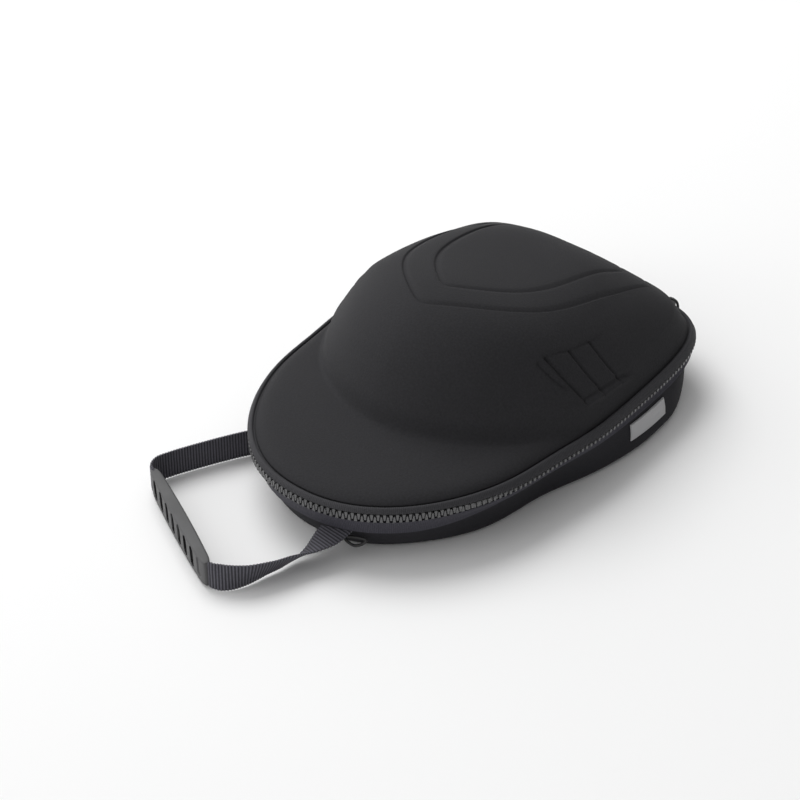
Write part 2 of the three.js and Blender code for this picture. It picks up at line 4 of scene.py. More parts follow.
import bpy
import numpy as np
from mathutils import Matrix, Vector


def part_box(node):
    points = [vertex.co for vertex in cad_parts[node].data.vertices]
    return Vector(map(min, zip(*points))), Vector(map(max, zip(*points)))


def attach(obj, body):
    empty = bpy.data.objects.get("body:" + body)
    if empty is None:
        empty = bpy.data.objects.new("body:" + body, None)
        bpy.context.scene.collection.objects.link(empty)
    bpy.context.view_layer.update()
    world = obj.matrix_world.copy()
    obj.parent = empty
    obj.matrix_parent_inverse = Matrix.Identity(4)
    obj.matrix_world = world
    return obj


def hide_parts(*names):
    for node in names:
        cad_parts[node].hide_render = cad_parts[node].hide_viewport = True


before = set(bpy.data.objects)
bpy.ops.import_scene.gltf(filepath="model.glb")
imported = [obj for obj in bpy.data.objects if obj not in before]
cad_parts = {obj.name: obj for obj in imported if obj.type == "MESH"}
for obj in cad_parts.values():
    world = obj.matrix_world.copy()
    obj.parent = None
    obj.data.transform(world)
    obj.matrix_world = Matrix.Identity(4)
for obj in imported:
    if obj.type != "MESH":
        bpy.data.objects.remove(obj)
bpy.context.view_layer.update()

# Sizes are millimetres, with Z up and the brim towards -Y; pieces are scaled to metres when made.
MM = 0.001
TINY = 1e-9

# Outline of the zip seam
SEAM_HEIGHT = 34.8
PLAN = {"half_width": 100.5, "front": 154.5, "rear": 140.5, "front_power": 2.15, "rear_power": 5.5}
REAR_TAPER = {"rate": 0.00055, "start": 20}
WAIST = {"depth": 0.03, "y": -34, "reach": 32}
SEAM_SAMPLES = 7200
SEAM_ROUNDS = 12

# Lid: the crown and the brim over the rim
LID_WALL = 3.4
RIM = {"inset": 3.8, "height": SEAM_HEIGHT + 5.3, "wall_share": 0.957}
CROWN = {"height": 60.2, "centre_y": -1, "front": 87.2, "front_power": 1.77, "inner": 2.83, "outer": 6}
CROWN_SQUARE = {"start": 0.7, "end": 1.15}
CROWN_CURVE = {"inner": 5.2, "side": 1.21, "front": 0.96}
CROWN_FALL = {"share": 0.096, "from_y": -60}
CROWN_SWELL = {"height": 12.6, "y": -33, "reach_x": 63, "reach_y": 57}
BRIM = {"edge": 4, "edge_rate": 32, "slope": 12.3, "flatten": 0.35}
BRIM_BLEND = {"reach": 34, "rise": 14, "least": 0.01}
# The lid's rows draw together at this point of the middle line
MIDDLE_Y = 42

# Shields pressed into the crown
SHIELDS = (
    {"tip_y": -42.3, "half": 60.5, "reach": 45, "round": 9, "end_y": 134, "end_reach": 26},
    {"tip_y": -20.5, "half": 43.5, "reach": 38, "round": 7, "end_y": 126, "end_reach": 26},
)
# Each shield's line falls steeply on its outer side and comes back slowly on its inner side
SHIELD_LINE = {"depth": 1.2, "outside": 0.9, "lowest": 0.5, "climb_from": -0.5, "inside": 4.5}

# Front edges of the gills on each flank, as plan points; the last row is where the last gill runs out
GILL_EDGES = (
    {"top_x": 68.4, "top_y": -13.3, "low_x": 90.4, "low_y": 0.9},
    {"top_x": 72.7, "top_y": 4.6, "low_x": 91.0, "low_y": 16.5},
    {"top_x": 73.8, "top_y": 23.1, "low_x": 90.8, "low_y": 33.7},
    {"top_x": 74.2, "top_y": 42, "low_x": 91.2, "low_y": 50.4},
)
GILL = {"ramp": 0.8, "ramp_from": -0.02, "ramp_full": 0.03, "groove": 1.4, "sharp": 0.5, "soft": 1.2,
        "bow": 1.5, "end_soft": 0.6, "row_soft": 1}
GILL_PIT = {"depth": 0.9, "drop": 1, "reach": 2.2}
GILL_BROW = {"depth": 1.0, "drop": 0.3, "reach": 0.7, "fade": 16}
GILL_LEDGE = {"depth": 1.0, "lift": 1.1, "lip": 1.5, "reach": 0.55, "fade": 14}
# A single line pressed in ahead of the first gill
GILL_LINE = {"top_x": 67.6, "top_y": -18.9, "low_x": 84.0, "low_y": -7.0,
             "depth": 1.1, "reach": 0.9, "fade_above": 4, "fade_below": 1}

# Wall of the tray: how far it stands out from the seam at each height, in four places
TRAY_WALL = (
    {"height": 31.4, "tip": -1.8, "waist": -1.8, "side": -1.8, "back": -1.8},
    {"height": 27, "tip": -4.2, "waist": -5.2, "side": -0.2, "back": -2.6},
    {"height": 19, "tip": -7.8, "waist": -9.2, "side": 1.8, "back": -4.5},
    {"height": 10, "tip": -11.5, "waist": -11.5, "side": 2.6, "back": -5},
    {"height": 4, "tip": -15, "waist": -12.5, "side": 2, "back": -6.5},
    {"height": 1.2, "tip": -18, "waist": -15, "side": -0.5, "back": -9.5},
    {"height": 0, "tip": -21, "waist": -17.5, "side": -3.5, "back": -13},
)
# Distances along the case over which the wall turns from one place to the next
TRAY_TURNS = {"tip": (-75, -130), "side": (-45, 60), "back": (78, 128)}
TRAY_BASE = 4

# Zip
TEETH = {"front_reach": 2.8, "side_reach": 1.3, "inner": -2.5, "outer": 0.6, "pitch": 3.65, "root": 1.9,
         "tip": 0.85, "overlap": 0.53, "side_tip": 1.4, "side_overlap": 0.9, "tuck": 1.3, "show": 0.8,
         "bevel": 0.3, "end_gap": 1.5}
ZIP_TURN = {"front_y": -125, "side_y": -50}
TAPE_GAP = 0.3
ZIP_END_GAP = 1.5
# The thin web of each tape that reaches in between the teeth
ZIP_WEB = {"outer": -1.7, "inner": -2.4, "short": 0.1}
UPPER_TAPE = {"front_out": 0.4, "side_out": 1.1, "top": SEAM_HEIGHT + 6.3, "shoulder": -0.5,
              "slant_from": 0.7, "slant_to": -0.75, "tuck": 0.9}
# Corners of the upper tape's section: its lower lip from the outer face and the teeth, its slanting face as
# shares of the way in and up, and the piping along its top from the seam and the top
UPPER_TAPE_LIP = ((-0.35, 0), (0.05, 0.2), (0.15, 0.65))
UPPER_TAPE_SLANT = ((0.35, 0.4), (0.7, 0.75))
UPPER_TAPE_PIPING = ((-0.6, -0.7), (-1.1, -0.2), (-1.7, 0), (-2.3, -0.05), (-2.75, -0.5))
LOWER_TAPE = {"thickness": 1.1, "clear": 0.5, "front_drop": 12.4, "side_drop": 4.5, "rows": 8}
# The lower tape is thicker along both its edges, by shares of its depth
LOWER_TAPE_HEM = {"rise": 0.35, "start": 0.72, "full": 0.9}
LOWER_TAPE_BEAD = {"rise": 0.2, "end": 0.2}

# Ribs of the webbing
STRAP_RIB_PITCH = 1.8


def smooth(start, end, value):
    t = np.clip((value - start) / (end - start), 0, 1)
    return t * t * (3 - 2 * t)


def mix(a, b, t):
    return a + (b - a) * t


def hump(distance, reach):
    """1 where the distance is 0, falling smoothly to nothing well past the reach."""
    return np.exp(-((distance / reach) ** 2))


def gauge(x, y, half_x, half_y, power):
    """1 on an outline with these half sizes, less inside it."""
    return (np.abs(x / half_x) ** power + np.abs(y / half_y) ** power) ** (1 / power)


def rear_taper(y):
    behind = np.maximum(y, 0)
    return REAR_TAPER["rate"] * behind * behind / (behind + REAR_TAPER["start"])


def width_share(y):
    return 1 - rear_taper(y) - WAIST["depth"] * hump(y - WAIST["y"], WAIST["reach"])


def plan_gauge(x, y, inset):
    half_y = np.where(y < 0, PLAN["front"], PLAN["rear"]) - inset
    power = np.where(y < 0, PLAN["front_power"], PLAN["rear_power"])
    return gauge(x / width_share(y), y, PLAN["half_width"] - inset, half_y, power)


def seam_curve():
    """The seam from the brim's tip round by +X: points, outward normals and lengths along it."""
    angle = np.linspace(-math.pi / 2, 1.5 * math.pi, SEAM_SAMPLES + 1)
    spots = PLAN["half_width"] * np.column_stack([np.cos(angle), np.sin(angle)])
    for _ in range(SEAM_ROUNDS):
        spots /= plan_gauge(spots[:, 0], spots[:, 1], 0)[:, None]
    steps = np.hypot(*np.diff(spots, axis=0).T)
    lengths = np.concatenate([[0], np.cumsum(steps)])
    ways = np.roll(spots[:-1], -1, axis=0) - np.roll(spots[:-1], 1, axis=0)
    ways = np.vstack([ways, ways[:1]])
    ways /= np.hypot(*ways.T)[:, None]
    return spots, np.column_stack([ways[:, 1], -ways[:, 0]]), lengths


SEAM_SPOTS, SEAM_NORMALS, SEAM_LENGTHS = seam_curve()
SEAM_LENGTH = SEAM_LENGTHS[-1]


def seam_at(along):
    """Points and outward normals at these lengths along the seam."""
    where = np.mod(along, SEAM_LENGTH)
    pick = [np.interp(where, SEAM_LENGTHS, column) for column in (*SEAM_SPOTS.T, *SEAM_NORMALS.T)]
    return np.column_stack(pick[:2]), np.column_stack(pick[2:])


def brim_height(x, y):
    inside = np.maximum(0, 1 - plan_gauge(x, y, RIM["inset"]))
    edge = BRIM["edge"] * (1 - np.exp(-inside * BRIM["edge_rate"]))
    return edge + BRIM["slope"] * inside * (1 - BRIM["flatten"] * inside)


def crown_height(x, y):
    dy = y - CROWN["centre_y"]
    half = PLAN["half_width"] - RIM["inset"]
    rear = PLAN["rear"] - RIM["inset"] - CROWN["centre_y"]
    across = x / width_share(y)
    plain = gauge(across, dy, half, rear, CROWN["inner"])
    square = smooth(CROWN_SQUARE["start"], CROWN_SQUARE["end"], plain)
    power = np.where(dy < 0, CROWN["front_power"], mix(CROWN["inner"], CROWN["outer"], square))
    q = np.maximum(TINY, gauge(across, dy, half, np.where(dy < 0, CROWN["front"], rear), power))
    swell = hump(x, CROWN_SWELL["reach_x"]) * hump(y - CROWN_SWELL["y"], CROWN_SWELL["reach_y"])
    fall = 1 - CROWN_FALL["share"] * smooth(CROWN_FALL["from_y"], PLAN["rear"], y)
    ahead = (np.maximum(-dy, 0) / CROWN["front"] / q) ** CROWN["front_power"]
    curve = mix(CROWN_CURVE["side"], CROWN_CURVE["front"], smooth(0, 1, ahead))
    peak = CROWN["height"] * fall + CROWN_SWELL["height"] * swell
    return peak * np.maximum(0, 1 - q ** CROWN_CURVE["inner"]) ** curve


def lid_height(x, y):
    a = brim_height(x, y)
    b = crown_height(x, y)
    reach = BRIM_BLEND["least"] + BRIM_BLEND["reach"] * np.minimum(1, np.maximum(a, b) / BRIM_BLEND["rise"])
    near = np.maximum(0, reach - np.abs(a - b)) / reach
    return RIM["height"] + np.maximum(a, b) + near * near * reach / 4


def lid_normal(x, y):
    step = 0.5
    dx = (lid_height(x + step, y) - lid_height(x - step, y)) / (2 * step)
    dy = (lid_height(x, y + step) - lid_height(x, y - step)) / (2 * step)
    normal = np.stack([-dx, -dy, np.ones_like(dx)], axis=-1)
    return normal / np.linalg.norm(normal, axis=-1)[..., None]


def ring_faces(rows, columns, closed_rows=False):
    """Four-sided faces between rings of points, each ring closed on itself."""
    row = np.arange(rows if closed_rows else rows - 1)[:, None]
    column = np.arange(columns)[None, :]
    after = (column + 1) % columns
    here, above = row * columns, (row + 1) % rows * columns
    corners = [here + column, here + after, above + after, above + column]
    return np.stack(corners, axis=-1).reshape(-1, 4).tolist()


def closed_faces(rows, columns):
    """The faces between rings, then one face that closes each end."""
    ring = np.arange(columns)
    ends = [ring[::-1].tolist(), ((rows - 1) * columns + ring).tolist()]
    return ring_faces(rows, columns) + ends


def add_piece(name, points, faces, material, nodes, uv=None, crease=None):
    """A finished piece that stands for some of the part's solids."""
    mesh = bpy.data.meshes.new(name)
    mesh.from_pydata((np.asarray(points, float) * MM).tolist(), [], faces)
    mesh.update()
    mesh.shade_smooth()
    if crease is not None:
        mesh.set_sharp_from_angle(angle=math.radians(crease))
    if uv is not None:
        corner = np.empty(len(mesh.loops), dtype=np.int32)
        mesh.loops.foreach_get("vertex_index", corner)
        layer = mesh.uv_layers.new(name="along_and_across")
        layer.data.foreach_set("uv", (np.asarray(uv, float)[corner] * MM).ravel())
    mesh.materials.append(material)
    obj = bpy.data.objects.new(name, mesh)
    bpy.context.scene.collection.objects.link(obj)
    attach(obj, "root")
    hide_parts(*nodes)
    return obj


# Materials

NOISE_SPAN = {"From Min": 0.3, "From Max": 0.7}
FLECK_SCALE, FLECK_SHARE = 0.7, 0.65
PATCH_SCALE, PATCH_SHARE = 22, 0.35
RUB_SCALE = 90
CLOTH_GLOSS = {"plain": 0.82, "ribbed": 0.7, "spread": 0.25}
CLOTH_FEEL = {"Sheen Weight": 0.02, "Sheen Roughness": 0.5, "Specular IOR Level": 0.15}
CLOTH_RELIEF = {"Strength": 0.35, "Distance": 0.0003}
RIB_RELIEF = {"Strength": 0.3, "Distance": 0.0004}
MOULDED_RELIEF = {"Strength": 0.15, "Distance": 0.0002}
MOULDED_TINT = 0.02
VIOLET_SHARE = 0.15
RIBS_ACROSS, RIBS_ALONG = 0, 1


def feed(tree, node, inputs):
    """Links each of these inputs to another node's output, or sets it to a value."""
    for key, value in inputs.items():
        if isinstance(value, bpy.types.NodeSocket):
            tree.links.new(value, node.inputs[key])
        else:
            node.inputs[key].default_value = value


def add_node(tree, kind, inputs, **settings):
    """A shader node of this kind with its settings, and its inputs fed."""
    node = tree.nodes.new("ShaderNode" + kind)
    for name, value in settings.items():
        setattr(node, name, value)
    feed(tree, node, inputs)
    return node


def reckon(tree, operation, *values):
    """The result of one sum on values and outputs."""
    return add_node(tree, "Math", dict(enumerate(values)), operation=operation).outputs[0]


def blend(tree, share, start, end):
    """The colour at a share of the way between two others."""
    first_colour, second_colour, result_colour = 6, 7, 2
    inputs = {"Factor": share, first_colour: start, second_colour: end}
    return add_node(tree, "Mix", inputs, data_type="RGBA").outputs[result_colour]


def start_effect(name, inputs, outputs):
    """An effect with these inputs, each with its usual value, and outputs: the group and its two ends."""
    group = bpy.data.node_groups.new(name, "ShaderNodeTree")
    for label, value in inputs.items():
        kind = "NodeSocketColor" if isinstance(value, tuple) else "NodeSocketFloat"
        group.interface.new_socket(name=label, in_out="INPUT", socket_type=kind).default_value = value
    for label in outputs:
        kind = "NodeSocketColor" if label == "Color" else "NodeSocketFloat"
        group.interface.new_socket(name=label, in_out="OUTPUT", socket_type=kind)
    return group, group.nodes.new("NodeGroupInput").outputs, group.nodes.new("NodeGroupOutput")


def grey(level, tint=0.0):
    """A near-neutral colour; a positive tint leans to blue, with a touch of violet."""
    return (level, level * (1 - tint * VIOLET_SHARE), level * (1 + tint), 1)


def thread_grain_effect():
    """Fine cloth: threads of two tones, uneven gloss and a bump, by the place on the object."""
    usual = {"Light Thread": grey(0.05), "Dark Thread": grey(0.02), "Threads per Metre": 900.0,
             "Gloss Spread": 0.1, "Roughness Middle": 0.8}
    group, given, out = start_effect("thread_grain", usual, ("Color", "Roughness", "Height"))
    place = add_node(group, "TexCoord", {}).outputs["Object"]
    threads = given["Threads per Metre"]
    cells = add_node(group, "TexVoronoi", {"Vector": place, "Scale": threads})
    flecks = reckon(group, "MULTIPLY", threads, FLECK_SCALE)
    fleck = add_node(group, "TexNoise", {"Vector": place, "Scale": flecks, "Detail": 3}).outputs["Fac"]
    patch = add_node(group, "TexNoise", {"Vector": place, "Scale": PATCH_SCALE, "Detail": 2}).outputs["Fac"]
    spread = add_node(group, "MapRange", {"Value": fleck, "To Max": FLECK_SHARE, **NOISE_SPAN})
    both = reckon(group, "MULTIPLY_ADD", patch, PATCH_SHARE, spread.outputs["Result"])
    centred = reckon(group, "SUBTRACT", fleck, 0.5)
    gloss = reckon(group, "MULTIPLY_ADD", centred, given["Gloss Spread"], given["Roughness Middle"])
    tone = blend(group, both, given["Dark Thread"], given["Light Thread"])
    feed(group, out, {"Color": tone, "Roughness": gloss, "Height": cells.outputs["Distance"]})
    return group


def handled_surface_effect():
    """Smooth moulded things: slow tone changes, rubbed gloss and a faint pebble."""
    usual = {"Clean": grey(0.2), "Worn": grey(0.25), "Pebbles per Metre": 1500.0,
             "Roughness Low": 0.4, "Roughness High": 0.6}
    group, given, out = start_effect("handled_surface", usual, ("Color", "Roughness", "Height"))
    place = add_node(group, "TexCoord", {}).outputs["Object"]
    rub = add_node(group, "TexNoise", {"Vector": place, "Scale": RUB_SCALE, "Detail": 5}).outputs["Fac"]
    pebble = add_node(group, "TexNoise", {"Vector": place, "Scale": given["Pebbles per Metre"], "Detail": 2})
    limits = {"To Min": given["Roughness Low"], "To Max": given["Roughness High"]}
    gloss = add_node(group, "MapRange", {"Value": rub, **NOISE_SPAN, **limits})
    tone = blend(group, rub, given["Clean"], given["Worn"])
    feed(group, out, {"Color": tone, "Roughness": gloss.outputs["Result"], "Height": pebble.outputs["Fac"]})
    return group


def woven_ribs_effect():
    """Ribs of a woven band: hollows between them darkened with painted shade, by a length along or across the
    band.
    """
    usual = {"Color": grey(0.05), "Place": 0.0, "Ribs per Metre": 500.0, "Hollow Painted Shade": 0.5}
    group, given, out = start_effect("woven_ribs", usual, ("Color", "Height"))
    ribs = reckon(group, "MULTIPLY", given["Place"], given["Ribs per Metre"])
    wave = reckon(group, "COSINE", reckon(group, "MULTIPLY", ribs, 2 * math.pi))
    rib = add_node(group, "MapRange", {"Value": wave, "From Min": -1}).outputs["Result"]
    # Painted shade: the colour is darkened in the hollows between the ribs
    hollow = add_node(group, "MapRange", {"Value": rib, "To Min": given["Hollow Painted Shade"]}).outputs["Result"]
    shade = add_node(group, "VectorMath", {0: given["Color"], "Scale": hollow}, operation="SCALE")
    feed(group, out, {"Color": shade.outputs["Vector"], "Height": rib})
    return group


THREAD_GRAIN = thread_grain_effect()
WOVEN_RIBS = woven_ribs_effect()
HANDLED_SURFACE = handled_surface_effect()


def finish_material(name, effect_group, values, relief_values):
    """A material whose shader is fed by one effect with these values: the material and its three nodes."""
    material = bpy.data.materials.new(name)
    material.use_nodes = True
    tree = material.node_tree
    shader = tree.nodes["Principled BSDF"]
    effect = add_node(tree, "Group", values, node_tree=effect_group)
    relief = add_node(tree, "Bump", {"Height": effect.outputs["Height"], **relief_values})
    feed(tree, shader, {"Base Color": effect.outputs["Color"], "Roughness": effect.outputs["Roughness"],
                        "Normal": relief.outputs["Normal"]})
    return material, shader, effect, relief


def cloth_nodes(name, light, dark, threads, tint, roughness):
    """A matte cloth with a faint sheen: the material and its nodes."""
    values = {"Light Thread": grey(light, tint), "Dark Thread": grey(dark, tint),
              "Threads per Metre": threads, "Gloss Spread": CLOTH_GLOSS["spread"],
              "Roughness Middle": roughness}
    material, shader, grain, relief = finish_material(name, THREAD_GRAIN, values, CLOTH_RELIEF)
    feed(material.node_tree, shader, CLOTH_FEEL)
    return material, shader, grain, relief


def cloth(name, light, dark, threads, tint=0.08):
    """A plain cloth of light and dark threads."""
    return cloth_nodes(name, light, dark, threads, tint, CLOTH_GLOSS["plain"])[0]


def woven(name, light, dark, threads, ribs, hollow, tint=0.08, way=RIBS_ACROSS):
    """A cloth band with ribs across it or along it; hollow sets how dark the painted shade in the rib hollows
    is.
    """
    material, shader, grain, relief = cloth_nodes(name, light, dark, threads, tint, CLOTH_GLOSS["ribbed"])
    tree = material.node_tree
    lengths = add_node(tree, "UVMap", {}, uv_map="along_and_across")
    parts = add_node(tree, "SeparateXYZ", {"Vector": lengths.outputs["UV"]})
    values = {"Color": grain.outputs["Color"], "Place": parts.outputs[way], "Ribs per Metre": ribs,
              "Hollow Painted Shade": hollow}
    weave = add_node(tree, "Group", values, node_tree=WOVEN_RIBS)
    rounding = add_node(tree, "Bump", {"Height": weave.outputs["Height"], "Normal": relief.outputs["Normal"],
                                       **RIB_RELIEF})
    feed(tree, shader, {"Base Color": weave.outputs["Color"], "Normal": rounding.outputs["Normal"]})
    return material


def moulded(name, clean, worn, low, high, pebbles=1500.0):
    """A smooth moulded finish between two tones and between a low and a high roughness."""
    values = {"Clean": grey(clean, MOULDED_TINT), "Worn": grey(worn, MOULDED_TINT),
              "Pebbles per Metre": pebbles, "Roughness Low": low, "Roughness High": high}
    return finish_material(name, HANDLED_SURFACE, values, MOULDED_RELIEF)[0]


LID_CLOTH = cloth("lid_cloth", light=0.03, dark=0.0192, threads=1100.0)
TRAY_CLOTH = cloth("tray_cloth", light=0.025, dark=0.015, threads=1100.0, tint=0.15)
# The hollow values darken the rib hollows of these cloths with painted shade
UPPER_TAPE_CLOTH = woven("upper_tape_cloth", light=0.056, dark=0.038, threads=1500.0, ribs=900.0, hollow=0.75)
LOWER_TAPE_CLOTH = woven("lower_tape_cloth", light=0.064, dark=0.043, threads=1500.0, ribs=900.0, hollow=0.75,
                         tint=0.22)
HINGE_CLOTH = woven("hinge_cloth", light=0.04, dark=0.026, threads=1200.0, ribs=700.0, hollow=0.75,
                    way=RIBS_ALONG)
WEBBING = woven("ribbed_webbing", light=0.14, dark=0.085, threads=1600.0, ribs=1 / (STRAP_RIB_PITCH * MM),
                hollow=0.25, tint=0.15)
TOOTH_PLASTIC = moulded("zip_tooth_plastic", clean=0.085, worn=0.115, low=0.2, high=0.35)
GRIP_RUBBER = moulded("grip_rubber", clean=0.06, worn=0.074, low=0.5, high=0.65, pebbles=2500.0)
# Near-black cloth for the grip's slots: painted shade standing for the shade deep in the slots, far darker
# than the webbing
SLOT_PAINTED_SHADE = cloth("grip_slot_painted_shade", light=0.014, dark=0.008, threads=1600.0)
BLACK_WIRE = moulded("black_coated_wire", clean=0.008, worn=0.014, low=0.38, high=0.55)
LABEL_PATCH = moulded("bare_label_patch", clean=0.37, worn=0.42, low=0.4, high=0.5)


# Lid

LID_COLUMNS = 680
LID_FLANK = {"low_y": -32, "high_y": 58, "soft": 20, "weight": 2.4}
LID_ROWS = {"flank": 80, "crowd": 1.15, "fall": 7, "climb": 7, "between": 7, "top": 13}
# The inside follows the outside closely where the crown meets the brim, so that it stays below it
LID_INSIDE = (0.9, 0.76, 0.6, 0.5, 0.43, 0.38, 0.34, 0.3, 0.27,
              0.24, 0.21, 0.18, 0.15, 0.12, 0.09, 0.06, 0.03, 0)
LEAST_SHARE = 0.02
SHIELD_ROUNDS = 40


def lid_columns():
    """Lengths along the seam for the lid's columns, closer together beside the gills."""
    spots, _ = seam_at(SEAM_LENGTHS[:-1])
    y = spots[:, 1]
    low, high, soft = LID_FLANK["low_y"], LID_FLANK["high_y"], LID_FLANK["soft"]
    flank = smooth(low - soft, low, y) * (1 - smooth(high, high + soft, y))
    crowd = np.concatenate([[0], np.cumsum(1 + LID_FLANK["weight"] * flank)])
    share = np.arange(LID_COLUMNS) / LID_COLUMNS
    return np.interp(share * crowd[-1], crowd, SEAM_LENGTHS)


def shield_half(shield, y):
    behind = np.maximum(0, y - shield["tip_y"])
    widen = np.tanh(np.sqrt(behind * (behind + shield["round"])) / shield["reach"])
    widen *= shield["half"] * (1 - rear_taper(y))
    close = np.maximum(0, y - (shield["end_y"] - shield["end_reach"])) / shield["end_reach"]
    return widen * np.sqrt(np.maximum(0, 1 - close * close))


def shield_share(shield, rim, inset):
    """How far from the crown's middle towards each rim point a shield's outline lies."""
    way = rim - np.array([0, MIDDLE_Y])
    inside = np.zeros(len(rim))
    outside = np.ones(len(rim))
    for _ in range(SHIELD_ROUNDS):
        half_way = (inside + outside) / 2
        is_in = np.abs(way[:, 0] * half_way) < shield_half(shield, MIDDLE_Y + way[:, 1] * half_way)
        inside = np.where(is_in, half_way, inside)
        outside = np.where(is_in, outside, half_way)
    return np.maximum(LEAST_SHARE, inside - inset / np.hypot(*way.T))


def line_y(edge, x):
    """Distance along the case of a gill's edge line, which bows a little towards the brim."""
    share = (x - edge["top_x"]) / (edge["low_x"] - edge["top_x"])
    inner = np.clip(share, 0, 1)
    return mix(edge["top_y"], edge["low_y"], share) - 4 * GILL["bow"] * inner * (1 - inner)


def past_ends(end, x, y, fade):
    """How far points lie below the line through the gills' top or low ends, and 1 along the row of gills."""
    ends_y = [edge[end + "_y"] for edge in GILL_EDGES]
    below = x - np.interp(y, ends_y, [edge[end + "_x"] for edge in GILL_EDGES])
    start = smooth(ends_y[0] - GILL["row_soft"], ends_y[0] + GILL["row_soft"], y)
    return below, start * (1 - smooth(ends_y[-1] - fade, ends_y[-1], y))


def gill_depth(x, y):
    """Depth of the gills: each has a groove in front, a slope behind it, a brow above and a ledge below."""
    x = np.abs(x)
    soft = GILL["end_soft"]
    depth = np.zeros_like(x)
    for front, rear in zip(GILL_EDGES[:-1], GILL_EDGES[1:]):
        behind = y - line_y(front, x)
        share = behind / (line_y(rear, x) - line_y(front, x))
        top = mix(front["top_x"], rear["top_x"], share)
        low = mix(front["low_x"], rear["low_x"], share)
        ends = smooth(top - soft, top + soft, x) * (1 - smooth(low - soft, low + soft, x))
        pit = GILL_PIT["depth"] * hump(x - top - GILL_PIT["drop"], GILL_PIT["reach"])
        groove = (GILL["groove"] + pit) * hump(behind, np.where(behind < 0, GILL["sharp"], GILL["soft"]))
        slope = GILL["ramp"] * np.clip(1 - share, 0, 1) * smooth(GILL["ramp_from"], GILL["ramp_full"], share)
        depth = np.maximum(depth, (groove + slope) * ends)
    below, along = past_ends("low", x, y, GILL_LEDGE["fade"])
    ledge = GILL_LEDGE["depth"] * hump(below + GILL_LEDGE["lift"], GILL_LEDGE["reach"])
    ledge -= GILL_LEDGE["lip"] * hump(below, GILL_LEDGE["reach"])
    below, over = past_ends("top", x, y, GILL_BROW["fade"])
    brow = GILL_BROW["depth"] * hump(below - GILL_BROW["drop"], GILL_BROW["reach"]) * over
    top, low = GILL_LINE["top_x"], GILL_LINE["low_x"]
    ends = smooth(top - soft, top + soft, x)
    ends *= 1 - smooth(low - GILL_LINE["fade_above"], low + GILL_LINE["fade_below"], x)
    line = GILL_LINE["depth"] * hump(y - line_y(GILL_LINE, x), GILL_LINE["reach"]) * ends
    return np.maximum(depth, brow) + ledge * along + line


def lid_row_shares(rim):
    """Where each row of the lid lies between the crown's middle and the rim, and its groove depth."""
    first, lowest, last = -SHIELD_LINE["outside"], SHIELD_LINE["lowest"], SHIELD_LINE["inside"]
    fall = np.linspace(first, lowest, LID_ROWS["fall"])[1:]
    climb = np.linspace(lowest, last, LID_ROWS["climb"])[1:]
    dip = np.concatenate([smooth(first, lowest, fall), 1 - smooth(SHIELD_LINE["climb_from"], last, climb)])
    groove = list(zip(np.concatenate([fall, climb]), dip * SHIELD_LINE["depth"]))
    outer, inner = SHIELDS
    edge = shield_share(outer, rim, first)
    rows = [(mix(1, edge, t), 0) for t in np.linspace(0, 1, LID_ROWS["flank"]) ** LID_ROWS["crowd"]]
    rows += [(shield_share(outer, rim, inset), depth) for inset, depth in groove]
    start, end = shield_share(outer, rim, last), shield_share(inner, rim, first)
    rows += [(mix(start, end, t), 0) for t in np.linspace(0, 1, LID_ROWS["between"])[1:]]
    rows += [(shield_share(inner, rim, inset), depth) for inset, depth in groove]
    edge = shield_share(inner, rim, last)
    rows += [(edge * t, 0) for t in np.linspace(1, LEAST_SHARE, LID_ROWS["top"])[1:]]
    return rows


def build_lid():
    spots, normals = seam_at(lid_columns())
    rim = spots - normals * RIM["inset"]
    rings = []
    for share, depth in lid_row_shares(rim):
        x = rim[:, 0] * share
        y = mix(MIDDLE_Y, rim[:, 1], share)
        point = np.column_stack([x, y, lid_height(x, y) - depth])
        rings.append(point - lid_normal(x, y) * gill_depth(x, y)[:, None])
    for t in LID_INSIDE:
        x = rim[:, 0] * (1 - t)
        y = mix(rim[:, 1], MIDDLE_Y, t)
        z = lid_height(x, y) - LID_WALL if t > 0 else np.full(len(x), RIM["height"])
        share = RIM["wall_share"]
        rings.append(np.column_stack([x * share, mix(MIDDLE_Y, y, share), z]))
    outer_count = len(rings) - len(LID_INSIDE)
    outer = ring_faces(outer_count, LID_COLUMNS)
    inside = (np.array(ring_faces(len(LID_INSIDE), LID_COLUMNS)) + outer_count * LID_COLUMNS).tolist()
    last = (len(rings) - 1) * LID_COLUMNS
    column = np.arange(LID_COLUMNS)
    after = (column + 1) % LID_COLUMNS
    edge = np.column_stack([last + column, last + after, after, column]).tolist()
    top_start = (outer_count - 1) * LID_COLUMNS
    inner_start = outer_count * LID_COLUMNS
    top = (top_start + column).tolist()
    under = (inner_start + column[::-1]).tolist()
    return add_piece("lid_cover", np.vstack(rings), outer + inside + edge + [top, under], LID_CLOTH,
                     ["upper_shell"])


# Tray

TRAY_COLUMNS = 480
TRAY_STEPS = 6
TRAY_INNER_STEP = 3


def tray_offset(row, y):
    front = mix(row["waist"], row["tip"], smooth(*TRAY_TURNS["tip"], y))
    flank = mix(front, row["side"], smooth(*TRAY_TURNS["side"], y))
    return mix(flank, row["back"], smooth(*TRAY_TURNS["back"], y))


def tray_offset_at(height, y):
    """How far the wall stands out from the seam at a height, on straight lines between the rows."""
    heights = [row["height"] for row in TRAY_WALL[::-1]]
    offsets = np.stack([tray_offset(row, y) for row in TRAY_WALL[::-1]])
    just_below_top = len(heights) - 1.001
    place = np.clip(np.interp(height, heights, np.arange(len(heights))), 0, just_below_top)
    low = place.astype(int)
    columns = np.arange(len(y))
    return mix(offsets[low, columns], offsets[low + 1, columns], place - low)


